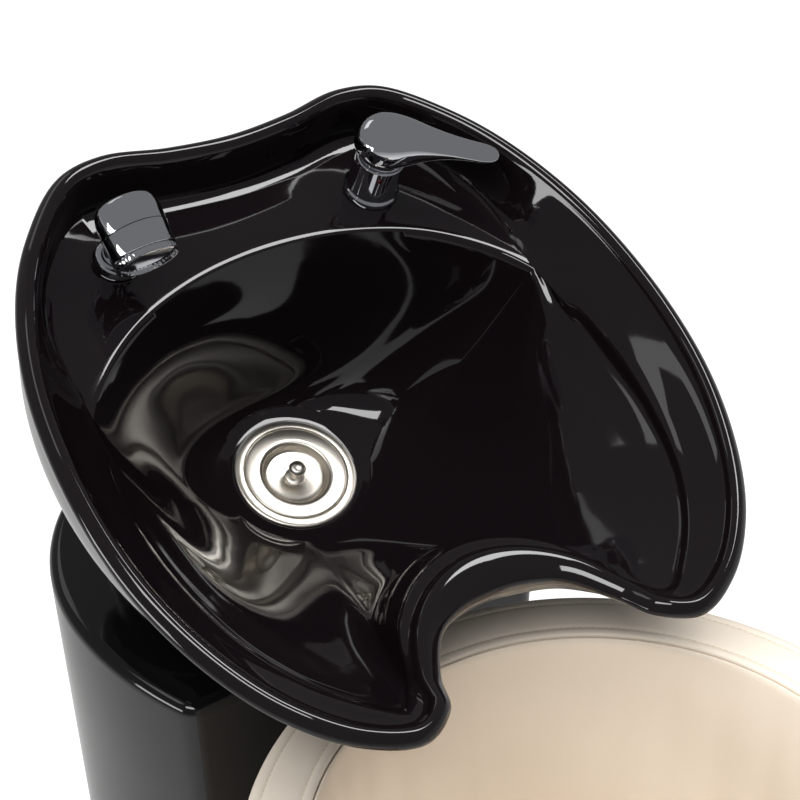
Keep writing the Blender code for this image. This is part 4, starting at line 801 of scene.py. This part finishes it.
shellRings = ([pedestalRing(s["clear"])] + [pedestalRing(s["top"] * share) for share in (.2, .4, .6, .8)]
              + edgeRings(0, 9) + [portRing(s["top"]), portRing(s["top"] - s["wall"])] + edgeRings(s["wall"], 4)[::-1]
              + [pedestalRing(s["top"] * share, s["wall"]) for share in (.75, .5, .25)]
              + [pedestalRing(s["clear"], s["wall"])])
shell = makePiece("pedestal_gelcoat", growRings(shellRings, closed=True), gelcoat, "base",
                  ["pedestal_shell"])
door = makePiece("door_gelcoat", growRings(shellRings, closed=True), gelcoat, "base", ["rear_door"])


def doorBox(name, grow):
    line = roundedBox(s["doorHalf"] + grow, s["door"][0] - grow, s["door"][1] + grow, s["doorCorner"] + grow, 9)
    back = s["mid"] + 60 * mm
    return makeTool(name, growRings([[(x, y, z) for x, z in line] for y in (back, back + s["backLong"])]))


def wallBand(name, outer, inner):
    low, high = s["door"][0] - 60 * mm, s["door"][1] + 60 * mm
    rings = [pedestalRing(low, outer), pedestalRing(high, outer), pedestalRing(high, inner), pedestalRing(low, inner)]
    return makeTool(name, growRings(rings, closed=True))


lap = s["wall"] + 3 * s["gap"]
flange = wallBand("doorFlange", s["wall"] - mm, lap + 4 * mm)
shapeWith(flange, [(doorBox("flangeOutside", s["doorLap"]), "INTERSECT"),
                   (doorBox("flangeInside", -s["doorLap"]), "DIFFERENCE")])
room = wallBand("doorRoom", -10 * mm, lap)
shapeWith(room, [(doorBox("roomEdge", s["doorGap"]), "INTERSECT")])
slotBmesh, slotTop = bmesh.new(), s["plate"] + s["gap"]
bmesh.ops.create_cube(slotBmesh, size=1, matrix=Matrix.LocRotScale(
    (0, s["front"] + 5 * mm, slotTop / 2 - 2 * mm), None, (2 * s["tongue"] + 2 * mm, 50 * mm, slotTop + 4 * mm)))
shapeWith(shell, [(flange, "UNION"), (room, "DIFFERENCE"), (makeTool("tongueSlot", slotBmesh), "DIFFERENCE")], 30)
shapeWith(door, [(doorBox("doorPanel", 0), "INTERSECT")], 30)
print("pedestal moulded")

# tub chair: the layers run round a U, from one arm front past the back to the other
chairSet = {"mid": -468 * mm, "reach": 277 * mm, "rim": 705 * mm, "front": -790 * mm, "armDrop": 95 * mm,
            "taper": 26 * mm, "boardTop": 118 * mm, "outerPad": 9 * mm, "padIn": 21.6 * mm, "wall": 46.6 * mm,
            "band": 12 * mm, "facing": 14 * mm, "facingSwell": 2 * mm, "facingCorner": 9 * mm, "seat": 365 * mm,
            "seatThick": 85 * mm, "crown": 22 * mm, "cushionCorner": 45 * mm, "apronCorner": 8 * mm,
            "gap": 0.3 * mm, "arcSteps": 96, "armSteps": 22, "seams": (38, 142), "seamDeep": 1.6 * mm,
            "seamRow": 1.15, "stitchPitch": 5.4 * mm, "facingCord": 2.2 * mm, "seatCord": 2.4 * mm}
c = chairSet


def tubStations(seams=()):
    # (point on the outer line, direction out) from the left arm's front to the right arm's
    turns = set(np.round(np.linspace(0, 180, c["arcSteps"] + 1), 4))
    for seam in seams:
        turns |= {round(seam + d, 4) for d in (-.9, -.6, -.4, -.2, 0, .2, .4, .6, .9)}
    arms = np.linspace(c["front"], c["mid"], c["armSteps"] + 1)[:-1]
    arc = [(math.cos(math.radians(t)), math.sin(math.radians(t))) for t in sorted(turns, reverse=True)]
    reach = c["reach"]
    return ([((-reach, y), (-1, 0)) for y in arms]
            + [((reach * x, c["mid"] + reach * y), (x, y)) for x, y in arc]
            + [((reach, y), (1, 0)) for y in arms[::-1]])


def rimAt(y):
    share = min(max((c["mid"] - y) / (c["mid"] - c["front"]), 0), 1)
    return c["rim"] - c["armDrop"] * share * share * (3 - 2 * share)


def leanAt(z):
    return c["taper"] * (c["rim"] - z) / (c["rim"] - c["boardTop"])


def sweepTub(section, seams=(), leaning=True):
    # section(top, away) gives the (inset, height) points of one ring
    rings = []
    for (x, y), (ax, ay) in tubStations(seams):
        ring = []
        for inset, z in section(rimAt(y), (ax, ay)):
            d = inset + (leanAt(z) if leaning else 0)
            ring.append((x - ax * d, y - ay * d, z))
        rings.append(ring)
    return rings


def tubLine(inset, drop):
    # a line along the tub, drop under the rim, with the way up
    return [(Vector((x - ax * inset, y - ay * inset, rimAt(y) - drop)), Vector((0, 0, 1)))
            for (x, y), (ax, ay) in tubStations()]


stitchBmesh = bmesh.new()
bmesh.ops.create_uvsphere(stitchBmesh, u_segments=8, v_segments=6, radius=1,
                          matrix=Matrix.Rotation(math.pi / 2, 4, "Y"))
stitchMesh = bpy.data.meshes.new("stitch")
stitchBmesh.to_mesh(stitchMesh)
stitchBmesh.free()


def sewLine(bm, line, pitch, long=3.9 * mm, wide=0.55 * mm):
    # lays one stitch after another along the line, each a little sunk at its ends
    lengths = np.cumsum([0] + [(b[0] - a[0]).length for a, b in zip(line, line[1:])])
    for at in np.arange(pitch, lengths[-1] - pitch, pitch):
        i = int(np.searchsorted(lengths, at)) - 1
        share = (at - lengths[i]) / (lengths[i + 1] - lengths[i])
        place = line[i][0].lerp(line[i + 1][0], share)
        along = (line[i + 1][0] - line[i][0]).normalized()
        up = line[i][1].lerp(line[i + 1][1], share)
        side = up.cross(along).normalized()
        up = along.cross(side)
        turn = Matrix((along, side, up)).transposed().to_4x4()
        size = Matrix.Diagonal((long / 2, wide, wide * .8, 1))
        laid = stitchMesh.copy()
        laid.transform(Matrix.Translation(place) @ turn @ size)
        bm.from_mesh(laid)
        bpy.data.meshes.remove(laid)
    return bm


def runCord(line, radius, count=10):
    # a round cord along a closed line of points
    rings = []
    for a, here, b in zip(line[-1:] + line[:-1], line, line[1:] + line[:1]):
        along = (b - a).normalized()
        side = along.cross(Vector((0, 0, 1)))
        side = side.normalized() if side.length > 0.01 else Vector((1, 0, 0))
        up = side.cross(along)
        rings.append([here + (side * math.cos(t) + up * math.sin(t)) * radius
                      for t in np.linspace(0, 2 * math.pi, count, endpoint=False)])
    return growRings(rings, closed=True)


def puff(piece, pressure, cap, held):
    # fills the sewn cover: a short cloth run with air in it, each point kept within the cap
    rest = np.array([v.co for v in piece.data.vertices])
    group = piece.vertex_groups.new(name="sewn")
    group.add([int(i) for i in np.nonzero(held(rest))[0]], 1.0, "REPLACE")
    cloth = piece.modifiers.new("cloth", "CLOTH")
    cloth.settings.use_pressure = True
    cloth.settings.uniform_pressure_force = pressure
    cloth.settings.effector_weights.gravity = 0
    cloth.settings.vertex_group_mass = "sewn"
    cloth.settings.quality = 4
    cloth.settings.tension_stiffness = cloth.settings.compression_stiffness = 25
    cloth.settings.bending_stiffness = 2
    cloth.point_cache.frame_start, cloth.point_cache.frame_end = 1, 20
    for step in range(1, 21):
        scene.frame_set(step)
    made = piece.evaluated_get(bpy.context.evaluated_depsgraph_get()).to_mesh()
    moved = np.array([v.co for v in made.vertices]) - rest
    piece.modifiers.clear()
    piece.vertex_groups.clear()
    far = np.maximum(np.linalg.norm(moved, axis=1), 1e-9)
    moved *= (cap * np.tanh(far / cap) / far)[:, None]
    piece.data.vertices.foreach_set("co", (rest + moved).ravel())
    piece.data.update()
    scene.frame_set(1)
    print(piece.name, "filled, at most", round(float(np.linalg.norm(moved, axis=1).max()) / mm, 1), "mm")


coverTop = c["band"] + c["gap"]


def coverSection(top, away):
    turn = math.degrees(math.atan2(away[1], away[0]))
    dent = sum(math.exp(-((turn - seam) / .3) ** 2) for seam in c["seams"]) * c["seamDeep"]
    low, high = c["boardTop"] + c["gap"], top - coverTop
    shares = [(4 * mm, 0), (.5 * mm, .008), (-.6 * mm, .03), (-1.5 * mm, .1), (-2 * mm, .3), (-2.2 * mm, .5),
              (-2 * mm, .7), (-1.4 * mm, .9), (-mm, .96), (-.2 * mm, .988), (1.6 * mm, 1), (c["outerPad"], 1),
              (c["outerPad"], 0)]
    return [(inset + dent * (0 < i < 11), low + (high - low) * share) for i, (inset, share) in enumerate(shares)]


outerCover = upholster("outer_cover_leather", growRings(sweepTub(coverSection, c["seams"])), "outer_cover", sharp=34)


def bandSection(top, away):
    w = c["wall"]
    shape = [(-2 * mm, -c["band"]), (-2.6 * mm, -8 * mm), (-2.2 * mm, -4.2 * mm), (-.8 * mm, -1.7 * mm),
             (1.8 * mm, -.3 * mm), (5 * mm, .15 * mm), (7 * mm, -.1 * mm), (8 * mm, -.75 * mm), (9 * mm, -.1 * mm),
             (12 * mm, .5 * mm), (23 * mm, 1 * mm), (34 * mm, .6 * mm), (37.4 * mm, 0), (38.4 * mm, -.7 * mm),
             (39.4 * mm, 0), (43 * mm, .2 * mm), (45.4 * mm, -.4 * mm), (w, -1.8 * mm), (w - .2 * mm, -4.5 * mm),
             (w - .6 * mm, -c["band"])]
    return [(inset, top + z) for inset, z in shape]


topBand = upholster("top_band_leather", growRings(sweepTub(bandSection, leaning=False)), "top_band")


def padSection(top, away):
    w, low = c["wall"], c["seat"] + c["gap"] + mm
    high = top - coverTop
    face = [(w - .2 * mm, top - 9 * mm), (w + .2 * mm, top - 5 * mm), (w + 1.1 * mm, top - 3.2 * mm),
            (w + 2.4 * mm, top - 3.1 * mm), (w + 3.4 * mm, top - 5 * mm), (w + 4 * mm, top - 9 * mm),
            (w + 4.4 * mm, top - 16 * mm)]
    swell = ((.92, 4.8), (.84, 5.2), (.76, 5.6), (.68, 5.9), (.6, 6.1), (.5, 6.2), (.4, 6), (.3, 5.4), (.2, 4.4),
             (.12, 3), (.06, 1))
    face += [(w + out * mm, low + (high - low) * share) for share, out in swell]
    return [(c["padIn"], low), (c["padIn"], high), (w - .4 * mm, high)] + face + [(w - 3 * mm, low)]


innerPad = upholster("inner_pad_leather", growRings(sweepTub(padSection)), "inner_pad")


def padHeld(places):
    # the back, the sewn top edge and the ends stay where they are
    x, y, z = places.T
    out = np.where(y > c["mid"], np.hypot(x, y - c["mid"]), np.abs(x))
    rim = np.array([rimAt(v) for v in y])
    depth = c["reach"] - leanAt(z) - out
    return ((depth < c["wall"] - 4 * mm) | (z > rim - 12 * mm) | (z < c["seat"] + 10 * mm)
            | (y < c["front"] + 8 * mm))


puff(innerPad, 3.0, 5 * mm, padHeld)
rimThread = bmesh.new()
sewLine(rimThread, tubLine(8 * mm, .45 * mm), c["stitchPitch"])
sewLine(rimThread, tubLine(38.4 * mm, .4 * mm), c["stitchPitch"])
makePiece("rim_stitches", rimThread, thread, "base")
coverThread = bmesh.new()
for seam in c["seams"]:
    for side in (-c["seamRow"], c["seamRow"]):
        turn = math.radians(seam + side)
        ax, ay = math.cos(turn), math.sin(turn)
        line = []
        for z in np.linspace(c["boardTop"] + 12 * mm, rimAt(0) - coverTop - 8 * mm, 60):
            d = leanAt(z) - 2.1 * mm
            line.append((Vector((ax * (c["reach"] - d), c["mid"] + ay * (c["reach"] - d), z)), Vector((ax, ay, 0))))
        sewLine(coverThread, line, c["stitchPitch"])
makePiece("cover_stitches", coverThread, thread, "base")
print("tub upholstered")


def stuffPanel(line, spine, crown):
    # rings from a panel's edge in to its spine, each at its own depth
    return growRings([[(x, y, z) for x, z in line + (spine - line) * share] for share, y in crown])


# arm fronts: a stuffed facing with a cord sewn round its edge
w, swell, corner = c["wall"], c["facingSwell"], c["facingCorner"]
top, low = rimAt(c["front"]), c["boardTop"] + c["gap"]
shoulder, foot, facingBack = top - corner, low + 4 * mm, c["front"] - c["gap"]
turns = np.linspace(0, math.pi / 2, 8)
section = [(corner - swell - corner * math.cos(t), shoulder + corner * math.sin(t)) for t in turns]
section += [(w + swell - corner + corner * math.cos(t), shoulder + corner * math.sin(t)) for t in turns[::-1]]
section += [(w + swell, z) for z in np.linspace(shoulder, foot, 26)[1:]] + [(w - mm, low), (mm, low)]
section += [(-swell, z) for z in np.linspace(foot, shoulder, 26)[:-1]]
facingCrown = [(share, facingBack - c["facing"] * depth) for share, depth in (
    (0, 0), (0, .3), (.005, .5), (.04, .68), (.12, .84), (.28, .98), (.5, 1.06), (.75, 1.1), (.97, 1.12))]
for side, sign in (("left", -1), ("right", 1)):
    line = np.array([(sign * (c["reach"] - inset - leanAt(z)), z) for inset, z in section])
    spine = np.array([(sign * (c["reach"] - w / 2 - leanAt(z)), min(max(z, low + 24 * mm), top - 24 * mm))
                      for z in line[:, 1]])
    facing = upholster(f"arm_facing_{side}_leather", stuffPanel(line, spine, facingCrown), f"arm_facing_{side}")
    cordLine = [Vector((x, facingBack - c["facing"] * .5, z)) for x, z in line]
    upholster(f"facing_cord_{side}", runCord(cordLine, c["facingCord"]), sharp=34)
print("arm fronts sewn")


def seatOutline(inset):
    # the cushion seen from above: round the back, down the right side, along the front and up the left
    half, front, corner = cushionHalf - inset, cushionFront + inset, c["cushionCorner"]
    arc = [(half * math.cos(t), c["mid"] + half * math.sin(t)) for t in np.linspace(math.pi, 0, 65)]
    side = [(half, y) for y in np.linspace(c["mid"], front + corner, 14)[1:-1]]
    bend = [(half - corner + corner * math.cos(t), front + corner - corner * math.sin(t))
            for t in np.linspace(0, math.pi / 2, 11)]
    right = side + bend + [(x, front) for x in np.linspace(half - corner, 0, 16)[1:-1]]
    return arc + right + [(0, front)] + [(-x, y) for x, y in right[::-1]]


# seat: a boxed cushion, blown full, with a cord round each edge
cushionHalf = c["reach"] - leanAt(c["seat"] + c["seatThick"] / 2) - c["wall"] - 8 * mm
cushionFront, cushionLow, thick = c["front"] - 6 * mm, c["seat"] + .5 * mm, c["seatThick"]
heart = np.array((0, (cushionFront + c["mid"] + cushionHalf) / 2))
levels = [(60, 0), (30, 0), (9, .02), (4, .09), (1, .2), (0, .34), (0, .5), (0, .64), (2, .76), (6, .86), (12, .95),
          (22, 1.03), (40, 1.1)]
floorRing, topRing = np.array(seatOutline(60 * mm)), np.array(seatOutline(40 * mm))
rings = [[(x, y, cushionLow) for x, y in heart + (floorRing - heart) * share] for share in (.05, .3, .6)]
rings += [[(x, y, cushionLow + thick * share) for x, y in seatOutline(inset * mm)] for inset, share in levels]
for share in (.88, .75, .6, .45, .3, .15, .05):
    high = c["seat"] + thick * 1.1 + c["crown"] * .62 * (1 - share**2)
    rings.append([(x, y, high) for x, y in heart + (topRing - heart) * share])
cushion = upholster("seat_cushion_leather", growRings(rings), "seat_cushion")
edgeTop, edgeLow = cushionLow + thick * .86, cushionLow + thick * .09


def cushionHeld(places):
    z = places[:, 2]
    return (z < c["seat"] + 2 * mm) | (np.abs(z - edgeTop) < 1.5 * mm) | (np.abs(z - edgeLow) < 1.5 * mm)


puff(cushion, 3.5, 12 * mm, cushionHeld)
for name, inset, z in (("seat_cord_top", 4.5 * mm, edgeTop), ("seat_cord_low", 3 * mm, edgeLow)):
    upholster(name, runCord([Vector((x, y, z)) for x, y in seatOutline(inset)], c["seatCord"]), sharp=34)

# front panel under the seat: thin foam, crowned, stitched near its edge
apronHalf = c["reach"] - leanAt(c["boardTop"]) - c["padIn"]
apronLow, apronHigh = c["boardTop"] + c["gap"], c["seat"] - c["gap"]
outline = roundedBox(apronHalf, apronLow, apronHigh, c["apronCorner"], 7)
dense = []
for a, b in zip(outline, outline[1:] + outline[:1]):
    steps = max(1, int(math.dist(a, b) / (14 * mm)))
    dense += [(a[0] + (b[0] - a[0]) * i / steps, a[1] + (b[1] - a[1]) * i / steps) for i in range(steps)]
line, spineHalf, seamShare = np.array(dense), apronHalf - 110 * mm, .085
spine = np.c_[np.clip(line[:, 0], -spineHalf, spineHalf), np.full(len(line), (apronLow + apronHigh) / 2)]
apronCrown = [(share, c["front"] + depth * mm) for share, depth in (
    (.02, 14), (0, 12), (0, 4), (.006, 1.6), (.02, .5), (.06, -.1), (seamShare, .5), (.11, -.2), (.3, -2), (.6, -3.6),
    (.98, -4.2))]
apron = upholster("front_apron_leather", stuffPanel(line, spine, apronCrown), "front_apron")
apronThread = bmesh.new()
sewn = line + (spine - line) * seamShare
sewLine(apronThread, [(Vector((x, c["front"] + .2 * mm, z)), Vector((0, -1, 0))) for x, z in sewn], c["stitchPitch"])
makePiece("apron_stitches", apronThread, thread, "base")
print("seat and front panel made")

# hoses: the solids' own tubes, cut finer, each riding on no body
hoseSet = {
    "waste_hose": {"still": 0.34, "carried": 0.63}, "hot_hose": {"still": 0.42, "carried": 0.74},
    "cold_hose": {"still": 0.42, "carried": 0.74}, "spray_hose_lower": {"still": 0.45, "carried": 0.74},
}
for name, span in hoseSet.items():
    tube = bmesh.new()
    tube.from_mesh(nodes[name].data)
    bmesh.ops.remove_doubles(tube, verts=tube.verts, dist=solidWeld)
    bmesh.ops.subdivide_edges(tube, edges=tube.edges, cuts=2, use_grid_fill=True)
    hose = makePiece(name + "_flexible", tube, skinOf[slotOf[name]], None, [name], sharp=50)
    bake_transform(hose)
print("hoses made")

# flags: the chrome doesn't see the boxes that would streak it
flagged = bpy.data.collections.new("chrome behind flags")
for piece in scene.objects:
    if piece.type == "MESH" and chrome.name in piece.data.materials:
        flagged.objects.link(piece)
for entry in flagged.collection_objects:
    entry.light_linking.link_state = "EXCLUDE"
for name, box in studioSet["boxes"].items():
    if box.get("flagged"):
        boxes[name].light_linking.receiver_collection = flagged
